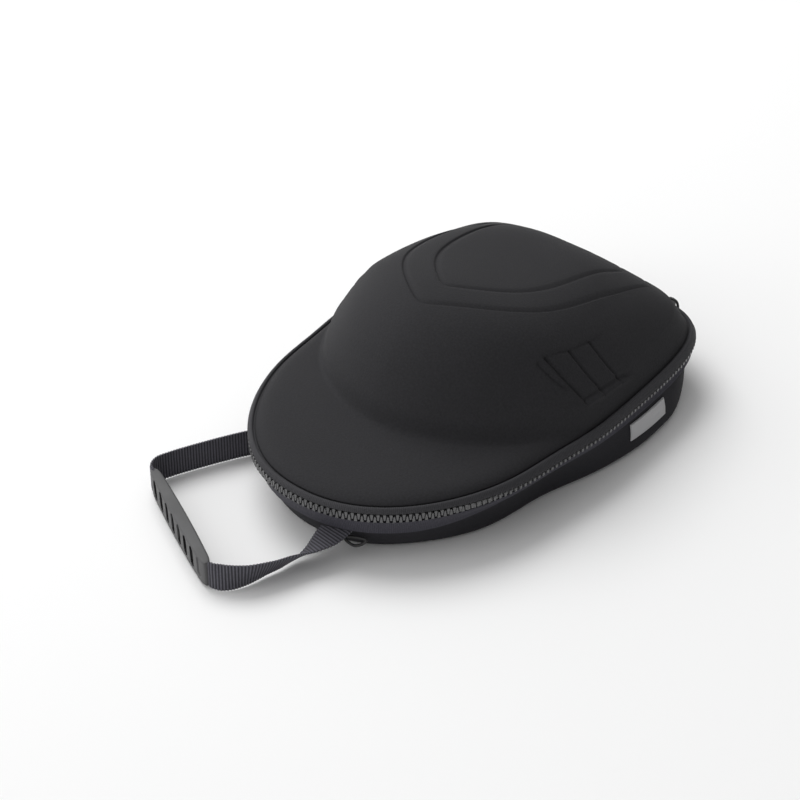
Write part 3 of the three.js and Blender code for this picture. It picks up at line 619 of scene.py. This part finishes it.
def round_rows(rows, steps):
    """More rows, on smooth curves through these ones."""
    rows = np.asarray(rows, float)
    before = np.vstack([2 * rows[:1] - rows[1:2], rows[:-1]])[:-1]
    after = np.vstack([rows[1:], 2 * rows[-1:] - rows[-2:-1]])[1:]
    start, end = rows[:-1], rows[1:]
    result = []
    for k in range(len(start)):
        for t in np.arange(steps) / steps:
            curve = (2 * start[k] + (end[k] - before[k]) * t
                     + (2 * before[k] - 5 * start[k] + 4 * end[k] - after[k]) * t * t
                     + (3 * start[k] - before[k] - 3 * end[k] + after[k]) * t ** 3)
            result.append(curve / 2)
    result.append(rows[-1])
    return np.array(result)


def build_tray():
    spots, normals = seam_at(np.arange(TRAY_COLUMNS) * SEAM_LENGTH / TRAY_COLUMNS)
    y = spots[:, 1]
    plain = [np.concatenate([[row["height"]], tray_offset(row, y)]) for row in TRAY_WALL]
    fine = round_rows(plain, TRAY_STEPS)
    fine[:, 0] = np.maximum(0, fine[:, 0])
    rise = 1 - TRAY_BASE / TRAY_WALL[0]["height"]

    def wall_ring(offset, z):
        return np.column_stack([spots + normals * offset[:, None], np.full(len(y), z)])

    rings = [wall_ring(row[1:], row[0]) for row in fine[::-1]]
    rings += [wall_ring(row[1:] - LID_WALL, TRAY_BASE + row[0] * rise) for row in fine[::TRAY_INNER_STEP]]
    faces = closed_faces(len(rings), TRAY_COLUMNS)
    return add_piece("tray_cover", np.vstack(rings), faces, TRAY_CLOTH, ["lower_shell"],
                     crease=50)


# Zip

ZIP_STEP = 1.6
HINGE_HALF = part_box("back_hinge_strip")[1][0] / MM
ZIP_END_X = HINGE_HALF + ZIP_END_GAP
REAR_FROM = 0.8


def rear_length(x):
    """Length along the seam to the point at the back that has this x."""
    rear = np.nonzero(SEAM_SPOTS[:, 1] > REAR_FROM * PLAN["rear"])[0]
    return SEAM_LENGTHS[rear[np.argmin(np.abs(SEAM_SPOTS[rear, 0] - x))]]


ZIP_START = rear_length(-ZIP_END_X)
ZIP_LENGTH = SEAM_LENGTH + rear_length(ZIP_END_X) - ZIP_START


def build_band(name, along, sections, material, nodes):
    """A band along the seam; each section is a closed loop of outward and height pairs."""
    spots, normals = seam_at(along)
    stations, count = sections.shape[:2]
    plan = spots[:, None, :] + normals[:, None, :] * sections[:, :, :1]
    points = np.concatenate([plan, sections[:, :, 1:]], axis=2).reshape(-1, 3)
    steps = np.linalg.norm(np.diff(sections, axis=1), axis=2)
    across = np.concatenate([np.zeros((stations, 1)), np.cumsum(steps, axis=1)], axis=1)
    uv = np.stack([np.broadcast_to(along[:, None], across.shape), across], axis=2).reshape(-1, 2)
    return add_piece(name, points, closed_faces(stations, count), material, nodes, uv=uv, crease=60)


def zip_along():
    return ZIP_START + np.linspace(0, ZIP_LENGTH, int(ZIP_LENGTH / ZIP_STEP) + 1)


def sideways(y):
    """0 round the brim and 1 beside and behind the case, where the upper tape covers more of the teeth."""
    return smooth(ZIP_TURN["front_y"], ZIP_TURN["side_y"], y)


def teeth_reach(y):
    return mix(TEETH["front_reach"], TEETH["side_reach"], sideways(y))


def section_corners(corners):
    """Corners of a section, each an outward place and a height, as one array over all the stations."""
    return np.stack([np.column_stack(np.broadcast_arrays(*corner)) for corner in corners], axis=1)


def web_corners(start, side):
    """Corners of a tape's web, outer side first; side is 1 for the upper tape and -1 for the lower one."""
    end = np.full(len(start), SEAM_HEIGHT + side * ZIP_WEB["short"])
    outer, inner = ZIP_WEB["outer"], ZIP_WEB["inner"]
    return [(outer, start), (outer, end), (inner, end), (inner, start)]


def build_upper_tape():
    along = zip_along()
    y = seam_at(along)[0][:, 1]
    low = SEAM_HEIGHT + teeth_reach(y) + TAPE_GAP
    out = mix(UPPER_TAPE["front_out"], UPPER_TAPE["side_out"], sideways(y))
    top = np.full(len(y), UPPER_TAPE["top"])
    under = np.full(len(y), RIM["height"] - TAPE_GAP)
    inner = -RIM["inset"] - LID_WALL
    slant_low, slant_high = low + UPPER_TAPE["slant_from"], top + UPPER_TAPE["slant_to"]
    corners = [(out + aside, low + rise) for aside, rise in UPPER_TAPE_LIP]
    corners += [(mix(out, UPPER_TAPE["shoulder"], inward), mix(slant_low, slant_high, up))
                for inward, up in UPPER_TAPE_SLANT]
    corners += [(place, top + rise) for place, rise in UPPER_TAPE_PIPING]
    corners += [(UPPER_TAPE["tuck"] - RIM["inset"], under), (inner, under), (inner, low)]
    sections = section_corners(corners + web_corners(low, 1)[::-1])
    return build_band("upper_tape_cloth", along, sections, UPPER_TAPE_CLOTH, ["upper_zip_tape"])


def build_lower_tape():
    along = zip_along()
    y = seam_at(along)[0][:, 1]
    top = SEAM_HEIGHT - teeth_reach(y) - TAPE_GAP
    drop = mix(LOWER_TAPE["front_drop"], LOWER_TAPE["side_drop"], sideways(y))
    shares = np.linspace(0, 1, LOWER_TAPE["rows"])
    heights = top[:, None] - drop[:, None] * shares
    wall = np.stack([tray_offset_at(np.minimum(z, TRAY_WALL[0]["height"]), y) for z in heights.T], axis=1)
    inside = np.stack([wall + LOWER_TAPE["clear"], heights], axis=2)
    hem = LOWER_TAPE_HEM["rise"] * smooth(LOWER_TAPE_HEM["start"], LOWER_TAPE_HEM["full"], shares)
    bead = LOWER_TAPE_BEAD["rise"] * (1 - smooth(0, LOWER_TAPE_BEAD["end"], shares))
    thickness = LOWER_TAPE["thickness"] + hem + bead
    outside = np.stack([wall + LOWER_TAPE["clear"] + thickness, heights], axis=2)
    sections = np.concatenate([inside, outside[:, ::-1], section_corners(web_corners(top, -1))], axis=1)
    return build_band("lower_tape_cloth", along, sections, LOWER_TAPE_CLOTH, ["lower_zip_tape"])


def block(root, tip, depth, height, bevel):
    """A block with rounded edges that narrows from its root to its tip: points and faces."""
    x = np.array([-1, -1, 1, 1]) / 2
    y = np.array([-1, 1, 1, -1]) / 2
    rings = [np.column_stack([x * width, y * deep, np.full(4, z)]) for width, deep, z in (
        (root - 2 * bevel, depth - 2 * bevel, 0), (root, depth, bevel),
        (tip, depth, height - bevel), (tip - 2 * bevel, depth - 2 * bevel, height))]
    faces = [[r * 4 + k, (r + 1) * 4 + k, (r + 1) * 4 + (k + 1) % 4, r * 4 + (k + 1) % 4]
             for r in range(3) for k in range(4)]
    return np.vstack(rings), faces + [[0, 1, 2, 3], [15, 14, 13, 12]]


def build_teeth(name, side, node):
    """A row of moulded teeth; side is 1 for the upper row and -1 for the lower one."""
    depth = TEETH["outer"] - TEETH["inner"]
    count = int((ZIP_LENGTH - 2 * TEETH["end_gap"]) / TEETH["pitch"])
    # The two rows are half a pitch apart
    shift = 0.25 if side > 0 else 0.75
    along = ZIP_START + TEETH["end_gap"] + TEETH["pitch"] * (np.arange(count) + shift)
    spots, normals = seam_at(along)
    turn = slice(None) if side < 0 else slice(None, None, -1)
    points, faces = [], []
    for spot, normal in zip(spots, normals):
        reach = teeth_reach(spot[1])
        aside = sideways(spot[1])
        tip = mix(TEETH["tip"], TEETH["side_tip"], aside)
        height = reach * (1 + mix(TEETH["overlap"], TEETH["side_overlap"], aside))
        tooth, tooth_faces = block(TEETH["root"], tip, depth, height, TEETH["bevel"])
        way = np.array([-normal[1], normal[0]])
        tuck = (TEETH["tuck"] if side < 0 else -TEETH["show"]) * aside
        out = (TEETH["outer"] + TEETH["inner"]) / 2 - tuck
        plan = spot + np.outer(tooth[:, 0], way) + np.outer(tooth[:, 1] + out, normal)
        start = len(points) * len(tooth)
        points.append(np.column_stack([plan, SEAM_HEIGHT + side * (reach - tooth[:, 2])]))
        faces.extend([[start + k for k in face[turn]] for face in tooth_faces])
    return add_piece(name, np.vstack(points), faces, TOOTH_PLASTIC, [node], crease=30)


# Outward and height of the strip's corners from the seam
HINGE_SECTION = (
    (-1.2, -7.3), (0.1, -7.5), (0.6, -5.5), (0.95, -3), (1.0, 0), (0.9, 2.6), (-0.2, 4.6),
    (-1.7, 6.7), (-2.5, 9.2), (-3.0, 10.1), (-4.1, 9.8), (-3.1, 6.2), (-0.6, 3.2), (-0.6, -3.8),
)
# The strip closes most of the gap to the tapes' ends
HINGE_REACH = 1.2
HINGE_STATIONS = 60


def build_hinge():
    half = HINGE_HALF + HINGE_REACH
    along = np.linspace(rear_length(half), rear_length(-half), HINGE_STATIONS)
    section = np.array(HINGE_SECTION) + np.array([0, SEAM_HEIGHT])
    sections = np.broadcast_to(section, (len(along), len(section), 2))
    return build_band("hinge_cloth", along, sections, HINGE_CLOTH, ["back_hinge_strip"])


# Slider, pull and ring

SLIDER = {"x": 52, "width": 8, "height": 8.4, "depth": 3.2, "bevel": 0.8}
PULL = {"wire": 0.9, "width": 7.5, "low": -11, "high": 2}
RING = {"x": 36.5, "width": 11, "drop": 3.6, "wire": 0.9, "top": 14.1, "out_top": -6.2, "out_low": -3.6}
# Shares of the ring's width and of its drop
RING_CORNERS = ((-0.5, 0), (0.5, 0), (0.42, 0.6), (0, 1), (-0.42, 0.6))
WIRE_STEPS = 14
WIRE_SIDES = 12


def build_wire(name, corners, wire, nodes):
    """A closed loop of round wire through these corners."""
    corners = np.asarray(corners, float)
    loop = np.vstack([corners[-1:], corners, corners[:3]])
    path = round_rows(loop, WIRE_STEPS)[WIRE_STEPS:WIRE_STEPS * (len(corners) + 1)]
    along = np.roll(path, -1, axis=0) - np.roll(path, 1, axis=0)
    along /= np.linalg.norm(along, axis=1)[:, None]
    plane = np.cross(corners[1] - corners[0], corners[2] - corners[0])
    plane /= np.linalg.norm(plane)
    out = np.cross(along, plane)
    out /= np.linalg.norm(out, axis=1)[:, None]
    up = np.cross(out, along)
    angles = np.linspace(0, 2 * math.pi, WIRE_SIDES, endpoint=False)
    rings = [path + wire * (math.cos(a) * out + math.sin(a) * up) for a in angles]
    points = np.stack(rings, axis=1).reshape(-1, 3)
    faces = ring_faces(len(path), len(angles), closed_rows=True)
    return add_piece(name, points, faces, BLACK_WIRE, nodes)


def seam_frame(length):
    spots, normals = seam_at(np.array([length]))
    return spots[0], normals[0], np.array([-normals[0][1], normals[0][0]])


def build_slider():
    spot, normal, way = seam_frame(rear_length(SLIDER["x"]))
    body, faces = block(SLIDER["width"], SLIDER["width"], SLIDER["height"], SLIDER["depth"], SLIDER["bevel"])
    plan = spot + np.outer(body[:, 0], way) + np.outer(body[:, 2] + UPPER_TAPE["side_out"] + TAPE_GAP, normal)
    points = np.column_stack([plan, SEAM_HEIGHT + body[:, 1]])
    return add_piece("slider_body", points, faces, BLACK_WIRE, ["zip_slider"], crease=30)


def build_pull():
    spot, normal, way = seam_frame(rear_length(SLIDER["x"]))
    out = UPPER_TAPE["side_out"] + 2 * TAPE_GAP + SLIDER["depth"] + PULL["wire"]
    half = PULL["width"] / 2
    corners = [(-half, PULL["low"]), (-half, PULL["high"]), (half, PULL["high"]), (half, PULL["low"])]
    points = [np.append(spot + normal * out + way * side, SEAM_HEIGHT + rise) for side, rise in corners]
    return build_wire("pull_wire", points, PULL["wire"], ["zip_pull"])


def build_ring():
    front = np.nonzero(SEAM_SPOTS[:, 1] < 0)[0]
    nearest = front[np.argmin(np.abs(SEAM_SPOTS[front, 0] - RING["x"]))]
    spot, normal, way = seam_frame(SEAM_LENGTHS[nearest])
    points = []
    for side, low in RING_CORNERS:
        plan = spot + normal * mix(RING["out_top"], RING["out_low"], low) + way * side * RING["width"]
        points.append(np.append(plan, RING["top"] - low * RING["drop"]))
    return build_wire("ring_wire", points, RING["wire"], ["hang_ring"])


# Handle

STRAP = {"width": 18.5, "thickness": 1.8, "rib": 0.5, "rib_round": 0.8, "scallop": 0.35, "scallop_from": 0.8,
         "edge_thin": 0.35, "edge_from": 0.82, "row": 0.26, "columns": 13}
# The last stretch is inside the grip and is drawn in to stay within it
STRAP_END = {"start": 7, "full": 5, "share": 0.15}
STRAP_SAMPLES = 800
WALL_SEARCH = {"share": 0.5, "samples": 240, "seam_step": 12}
UPRIGHT = (0, 0, 1)
HANDLE_LEVEL = 10
LEFT_STRAP_PLAN = (
    (-63, -86), (-70, -98), (-77, -110), (-83.5, -122), (-94, -144),
    (-99, -156), (-101.5, -164.5), (-99.5, -170.8), (-95.4, -173.6), (-88.2, -176.35),
)
LEFT_STRAP = [{"at": (x, y, HANDLE_LEVEL), "across": UPRIGHT} for x, y in LEFT_STRAP_PLAN]
RIGHT_STRAP = (
    {"at": (22.5, -137, 18.4), "across": (0.98, -0.1, 0)},
    {"at": (21.2, -150.3, 15), "across": (0.96, -0.27, 0.05)},
    {"at": (19.5, -158.2, 12.5), "across": (0.8, -0.53, 0.29)},
    {"at": (16, -168, 9.2), "across": (0.52, -0.62, 0.6)},
    {"at": (13.5, -178, 9.4), "across": (0.43, -0.46, 0.77)},
    {"at": (10.5, -187.5, 9.6), "across": (0.38, -0.38, 0.84)},
    {"at": (5.5, -200.5, 10), "across": (0.21, -0.17, 0.96)},
    {"at": (-2.4, -210, 10), "across": UPRIGHT},
    {"at": (-10.5, -213.8, 10), "across": UPRIGHT},
    {"at": (-17.7, -211.8, 10), "across": UPRIGHT},
)
GRIP = {"height": 18, "thickness": 8, "end_thickness": 5.2, "bulge": 0.6, "corner": 1.3,
        "end_share": 0.45, "end_reach": 0.07, "end_height": 0.8}
GRIP_MESH = {"rows": 440, "face_rows": 48, "corner_steps": 7}
LEANING = (-0.016, -0.031, 0.999)
GRIP_PLAN = ((-95.9, -172.45), (-73.3, -183.8), (-53, -194), (-32.6, -204.3), (-12.3, -214.5))
GRIP_LINE = [(x, y, HANDLE_LEVEL) for x, y in GRIP_PLAN]
# Faces deeper than a share of the slot depth get the painted shade
GRIP_SLOTS = {"count": 8, "start": 0.115, "end": 0.925, "width": 5.2, "height": 13.8, "rise": 1.3,
              "depth": 3.2, "last_depth": 0.8, "soft_in": 0.5, "soft_out": 0.1, "painted_shade_from": 0.3}


def smooth_line(points, t):
    """Points at shares t of a smooth line through these points, even over its stretches."""
    points = np.asarray(points, float)
    chain = np.vstack([2 * points[0] - points[1], points, 2 * points[-1] - points[-2]])
    last = len(points) - 1
    stretch = np.clip(np.asarray(t) * last, 0, last - TINY)
    k = stretch.astype(int)
    f = (stretch - k)[:, None]
    p0, p1, p2, p3 = (chain[k + i] for i in range(4))
    d0, d1, d2 = (np.sqrt(np.linalg.norm(b - a, axis=1))[:, None] for a, b in ((p0, p1), (p1, p2), (p2, p3)))
    # Where neighbouring points are the same, an even pace stands in for their distance
    d1 = np.where(d1 < TINY, 1, d1)
    d0 = np.where(d0 < TINY, d1, d0)
    d2 = np.where(d2 < TINY, d1, d2)
    start = ((p1 - p0) / d0 - (p2 - p0) / (d0 + d1) + (p2 - p1) / d1) * d1
    end = ((p2 - p1) / d1 - (p3 - p1) / (d1 + d2) + (p3 - p2) / d2) * d1
    return (p1 + start * f + (-3 * p1 + 3 * p2 - 2 * start - end) * f ** 2
            + (2 * p1 - 2 * p2 + start + end) * f ** 3)


def strap_frame(stations, t):
    """Middle, direction of the width and direction of the face along a strap."""
    at = smooth_line([s["at"] for s in stations], t)
    step = 0.002
    along = smooth_line([s["at"] for s in stations], np.minimum(1, t + step))
    along -= smooth_line([s["at"] for s in stations], np.maximum(0, t - step))
    along /= np.linalg.norm(along, axis=1)[:, None]
    across = smooth_line([s["across"] for s in stations], t)
    across -= along * np.sum(across * along, axis=1)[:, None]
    across /= np.linalg.norm(across, axis=1)[:, None]
    return at, across, np.cross(along, across)


def beyond_wall(points):
    """How far points stand out from the tray's wall."""
    step = WALL_SEARCH["seam_step"]
    gaps = np.linalg.norm(points[:, None, :2] - SEAM_SPOTS[None, ::step], axis=2)
    k = np.argmin(gaps, axis=1) * step
    out = np.sum((points[:, :2] - SEAM_SPOTS[k]) * SEAM_NORMALS[k], axis=1)
    return out - tray_offset_at(points[:, 2], SEAM_SPOTS[k, 1])


def wall_share(stations, offset):
    """Share along a strap at which a line at this offset across it leaves the tray's wall."""
    t = np.linspace(0, WALL_SEARCH["share"], WALL_SEARCH["samples"])
    at, across, _ = strap_frame(stations, t)
    clear = beyond_wall(at + across * offset) > TAPE_GAP + STRAP["thickness"] / 2
    return t[np.argmax(clear)]


def build_strap(name, stations, node):
    """Ribbed webbing whose first end is cut to lie against the tray's wall."""
    shares = np.linspace(0, 1, STRAP_SAMPLES)
    line = smooth_line([s["at"] for s in stations], shares)
    run = np.concatenate([[0], np.cumsum(np.linalg.norm(np.diff(line, axis=0), axis=1))])
    length = run[-1]
    rows = int(length / STRAP["row"])
    half_width = STRAP["width"] / 2
    front, back, lengths = [], [], []
    for place in np.linspace(-1, 1, STRAP["columns"]):
        start = np.interp(wall_share(stations, place * half_width), shares, run)
        along = mix(start, length, np.linspace(0, 1, rows))
        at, across, face = strap_frame(stations, np.interp(along, run, shares))
        hollow = 1 - np.abs(np.cos(math.pi * along / STRAP_RIB_PITCH)) ** STRAP["rib_round"]
        edge = 1 - STRAP["edge_thin"] * smooth(STRAP["edge_from"], 1, abs(place))
        half = (STRAP["thickness"] / 2 - STRAP["rib"] * hollow) * edge
        scallop = STRAP["scallop"] * hollow * smooth(STRAP["scallop_from"], 1, abs(place))
        drawn_in = smooth(length - STRAP_END["start"], length - STRAP_END["full"], along)
        reach = place * (half_width - scallop) * (1 - STRAP_END["share"] * drawn_in)
        middle = at + across * reach[:, None]
        front.append(middle + face * half[:, None])
        back.append(middle - face * half[:, None])
        lengths.append(np.column_stack([along, np.full(rows, place * half_width)]))
    loop = np.stack(front + back[::-1], axis=1)
    uv = np.stack(lengths + lengths[::-1], axis=1).reshape(-1, 2)
    faces = closed_faces(rows, loop.shape[1])
    return add_piece(name, loop.reshape(-1, 3), faces, WEBBING, [node], uv=uv, crease=60)


def grip_thickness(t):
    bulge = np.maximum(0, np.sin(math.pi * t)) ** GRIP["bulge"]
    return mix(GRIP["end_thickness"], GRIP["thickness"], bulge)


def grip_rounding(t):
    """Share of the full thickness left by the rounding at both ends."""
    inward = np.clip(np.minimum(t, 1 - t) / GRIP["end_reach"], 0, 1)
    return mix(GRIP["end_share"], 1, np.sqrt(1 - (1 - inward) ** 2))


def slot_depth(t, z, length):
    """Depth of the slots in the grip's outer face at a share along it and a height from its middle."""
    depth = np.zeros(np.broadcast_shapes(t.shape, z.shape))
    half = GRIP_SLOTS["width"] / 2
    straight = GRIP_SLOTS["height"] / 2 - half
    last = GRIP_SLOTS["count"] - 1
    for k in range(GRIP_SLOTS["count"]):
        middle = mix(GRIP_SLOTS["start"], GRIP_SLOTS["end"], k / last)
        away = np.hypot((t - middle) * length, np.maximum(0, np.abs(z - GRIP_SLOTS["rise"]) - straight))
        wall = smooth(half - GRIP_SLOTS["soft_in"], half + GRIP_SLOTS["soft_out"], away)
        full = GRIP_SLOTS["last_depth"] if k == last else GRIP_SLOTS["depth"]
        depth = np.maximum(depth, full * (1 - wall))
    return depth


def grip_side():
    """Half of the grip's section, from its lower to its upper edge: insets from the face and heights."""
    corner = GRIP["corner"]
    straight = GRIP["height"] / 2 - corner
    turn = np.linspace(0, math.pi / 2, GRIP_MESH["corner_steps"])[1:]
    upper = [(-corner * (1 - math.cos(a)), straight + corner * math.sin(a)) for a in turn]
    face = [(0, z) for z in np.linspace(-straight, straight, GRIP_MESH["face_rows"])]
    return np.array([(inset, -z) for inset, z in upper[::-1]] + face + upper)


def build_grip():
    rows = GRIP_MESH["rows"]
    t = np.linspace(0, 1, rows)
    line = smooth_line(GRIP_LINE, t)
    length = np.sum(np.linalg.norm(np.diff(line, axis=0), axis=1))
    along = np.gradient(line, axis=0)
    along /= np.linalg.norm(along, axis=1)[:, None]
    outward = np.cross(along, LEANING)
    outward /= np.linalg.norm(outward, axis=1)[:, None]
    upward = np.cross(outward, along)
    side = grip_side()
    ends = grip_rounding(t)[:, None]
    half_thick = grip_thickness(t)[:, None] / 2
    open_slots = slot_depth(t[:, None], side[None, :, 1], length)
    sides = []
    for sign, profile, depth in ((1, side, open_slots), (-1, side[::-1], 0)):
        reach = sign * ((half_thick + profile[None, :, 0]) * ends - depth)
        rise = profile[None, :, 1] * mix(GRIP["end_height"], 1, ends)
        sides.append(line[:, None] + outward[:, None] * reach[..., None] + upward[:, None] * rise[..., None])
    loop = np.concatenate(sides, axis=1)
    count = loop.shape[1]
    faces = closed_faces(rows, count)
    bar = add_piece("grip_bar", loop.reshape(-1, 3), faces, GRIP_RUBBER, ["handle_grip"],
                    crease=50)
    # The slot faces get the near-black painted shade
    bar.data.materials.append(SLOT_PAINTED_SHADE)
    deep = np.zeros((rows, count))
    deep[:, :len(side)] = open_slots
    corners = np.array(faces[:-2])
    is_slot = deep.ravel()[corners].max(axis=1) > GRIP_SLOTS["painted_shade_from"] * GRIP_SLOTS["depth"]
    bar.data.polygons.foreach_set("material_index", is_slot.astype(np.int32).tolist() + [0, 0])
    return bar


# Label

LABEL = {"low_y": 35, "high_y": 71, "low": 13.3, "high": 24.9, "thickness": 1.0, "clear": 0.4, "round": 0.5}
LABEL_RIM = {"width": 1.1, "soft": 0.5, "rise": 0.25}
LABEL_MESH = {"columns": 90, "rows": 44}


def build_label():
    y = SEAM_SPOTS[:, 1]
    lengths = SEAM_LENGTHS[(SEAM_SPOTS[:, 0] > 0) & (y > LABEL["low_y"]) & (y < LABEL["high_y"])]
    along = np.linspace(lengths[0], lengths[-1], LABEL_MESH["columns"])
    heights = np.linspace(LABEL["low"], LABEL["high"], LABEL_MESH["rows"])
    spots, normals = seam_at(along)
    run = along - along[0]
    face = LABEL["thickness"] - LABEL_RIM["rise"]
    rings = []
    for is_front in (False, True):
        for z in (heights if is_front else heights[::-1]):
            wall = tray_offset_at(np.full(len(along), z), spots[:, 1]) + LABEL["clear"]
            inset = np.minimum(np.minimum(run, run[-1] - run), min(z - heights[0], heights[-1] - z))
            past_rim = smooth(LABEL_RIM["width"], LABEL_RIM["width"] + LABEL_RIM["soft"], inset)
            rim = LABEL_RIM["rise"] * (1 - past_rim)
            round_off = LABEL["round"] * (1 - smooth(0, LABEL["round"], inset))
            out = wall + (face + rim - round_off if is_front else 0)
            rings.append(np.column_stack([spots + normals * out[:, None], np.full(len(along), z)]))
    loop = np.stack(rings, axis=1)
    faces = closed_faces(len(along), loop.shape[1])
    return add_piece("bare_label", loop.reshape(-1, 3), faces, LABEL_PATCH, ["side_label"],
                     crease=50)


build_lid()
build_tray()
build_upper_tape()
build_lower_tape()
build_teeth("upper_teeth_row", 1, "upper_zip_teeth")
build_teeth("lower_teeth_row", -1, "lower_zip_teeth")
build_hinge()
build_slider()
build_pull()
build_ring()
build_strap("left_webbing", LEFT_STRAP, "handle_strap_left")
build_strap("right_webbing", RIGHT_STRAP, "handle_strap_right")
build_grip()
build_label()


# Floor, lights and camera

FLOOR = {"half": 15.0, "tone": 0.92, "roughness": 0.9}
# The light of the air is brightest from one side and dims towards the other
AIR = {"bright": 1.2, "dim": 0.05, "dim_way": (0.85, 0.53, 0)}
LIGHTS = (
    {"name": "key_softbox", "place": (-1.25, 0.35, 2.1), "aim": (0, -0.05, 0.03),
     "size": 1.8, "power": 34},
    {"name": "front_softbox", "place": (-1.1, -1.5, 0.55), "aim": (-0.03, -0.15, 0.02),
     "size": 0.9, "power": 4},
)
CAMERA = {"azimuth": 40.0, "elevation": 36.5, "lens": 108.0, "sensor": 36.0, "distance": 1.4983,
          "aim": (-0.04415, -0.00848, 0.0)}


def build_floor():
    mesh = bpy.data.meshes.new("studio_floor")
    half = FLOOR["half"]
    corners = [(-half, -half, 0), (half, -half, 0), (half, half, 0), (-half, half, 0)]
    mesh.from_pydata(corners, [], [[0, 1, 2, 3]])
    floor = bpy.data.objects.new("studio_floor", mesh)
    bpy.context.scene.collection.objects.link(floor)
    material = bpy.data.materials.new("pale_floor")
    material.use_nodes = True
    shader = material.node_tree.nodes["Principled BSDF"]
    feed(material.node_tree, shader, {"Base Color": grey(FLOOR["tone"]), "Roughness": FLOOR["roughness"]})
    mesh.materials.append(material)


def add_light(name, place, aim, size, power):
    data = bpy.data.lights.new(name, "AREA")
    data.shape = "DISK"
    data.size = size
    data.energy = power
    light = bpy.data.objects.new(name, data)
    light.location = place
    light.rotation_euler = (Vector(aim) - Vector(place)).to_track_quat("-Z", "Y").to_euler()
    bpy.context.scene.collection.objects.link(light)


def build_air():
    world = bpy.data.worlds.new("studio_air")
    world.use_nodes = True
    tree = world.node_tree
    way = add_node(tree, "TexCoord", {}).outputs["Generated"]
    turned = add_node(tree, "VectorMath", {0: way, 1: AIR["dim_way"]}, operation="DOT_PRODUCT")
    dim = add_node(tree, "MapRange", {"Value": turned.outputs["Value"], "From Min": -1,
                                      "To Min": AIR["bright"], "To Max": AIR["dim"]})
    feed(tree, tree.nodes["Background"], {"Color": (1, 1, 1, 1), "Strength": dim.outputs["Result"]})
    bpy.context.scene.world = world
    bpy.context.scene.view_settings.view_transform = "Standard"


def build_camera():
    data = bpy.data.cameras.new("photo_camera")
    data.lens = CAMERA["lens"]
    data.sensor_width = CAMERA["sensor"]
    turn = math.radians(CAMERA["azimuth"])
    rise = math.radians(CAMERA["elevation"])
    back = Vector((math.sin(turn) * math.cos(rise), -math.cos(turn) * math.cos(rise), math.sin(rise)))
    camera = bpy.data.objects.new("photo_camera", data)
    camera.location = Vector(CAMERA["aim"]) + back * CAMERA["distance"]
    camera.rotation_euler = (-back).to_track_quat("-Z", "Y").to_euler()
    bpy.context.scene.collection.objects.link(camera)
    bpy.context.scene.camera = camera


build_floor()
build_air()
for softbox in LIGHTS:
    add_light(**softbox)
build_camera()
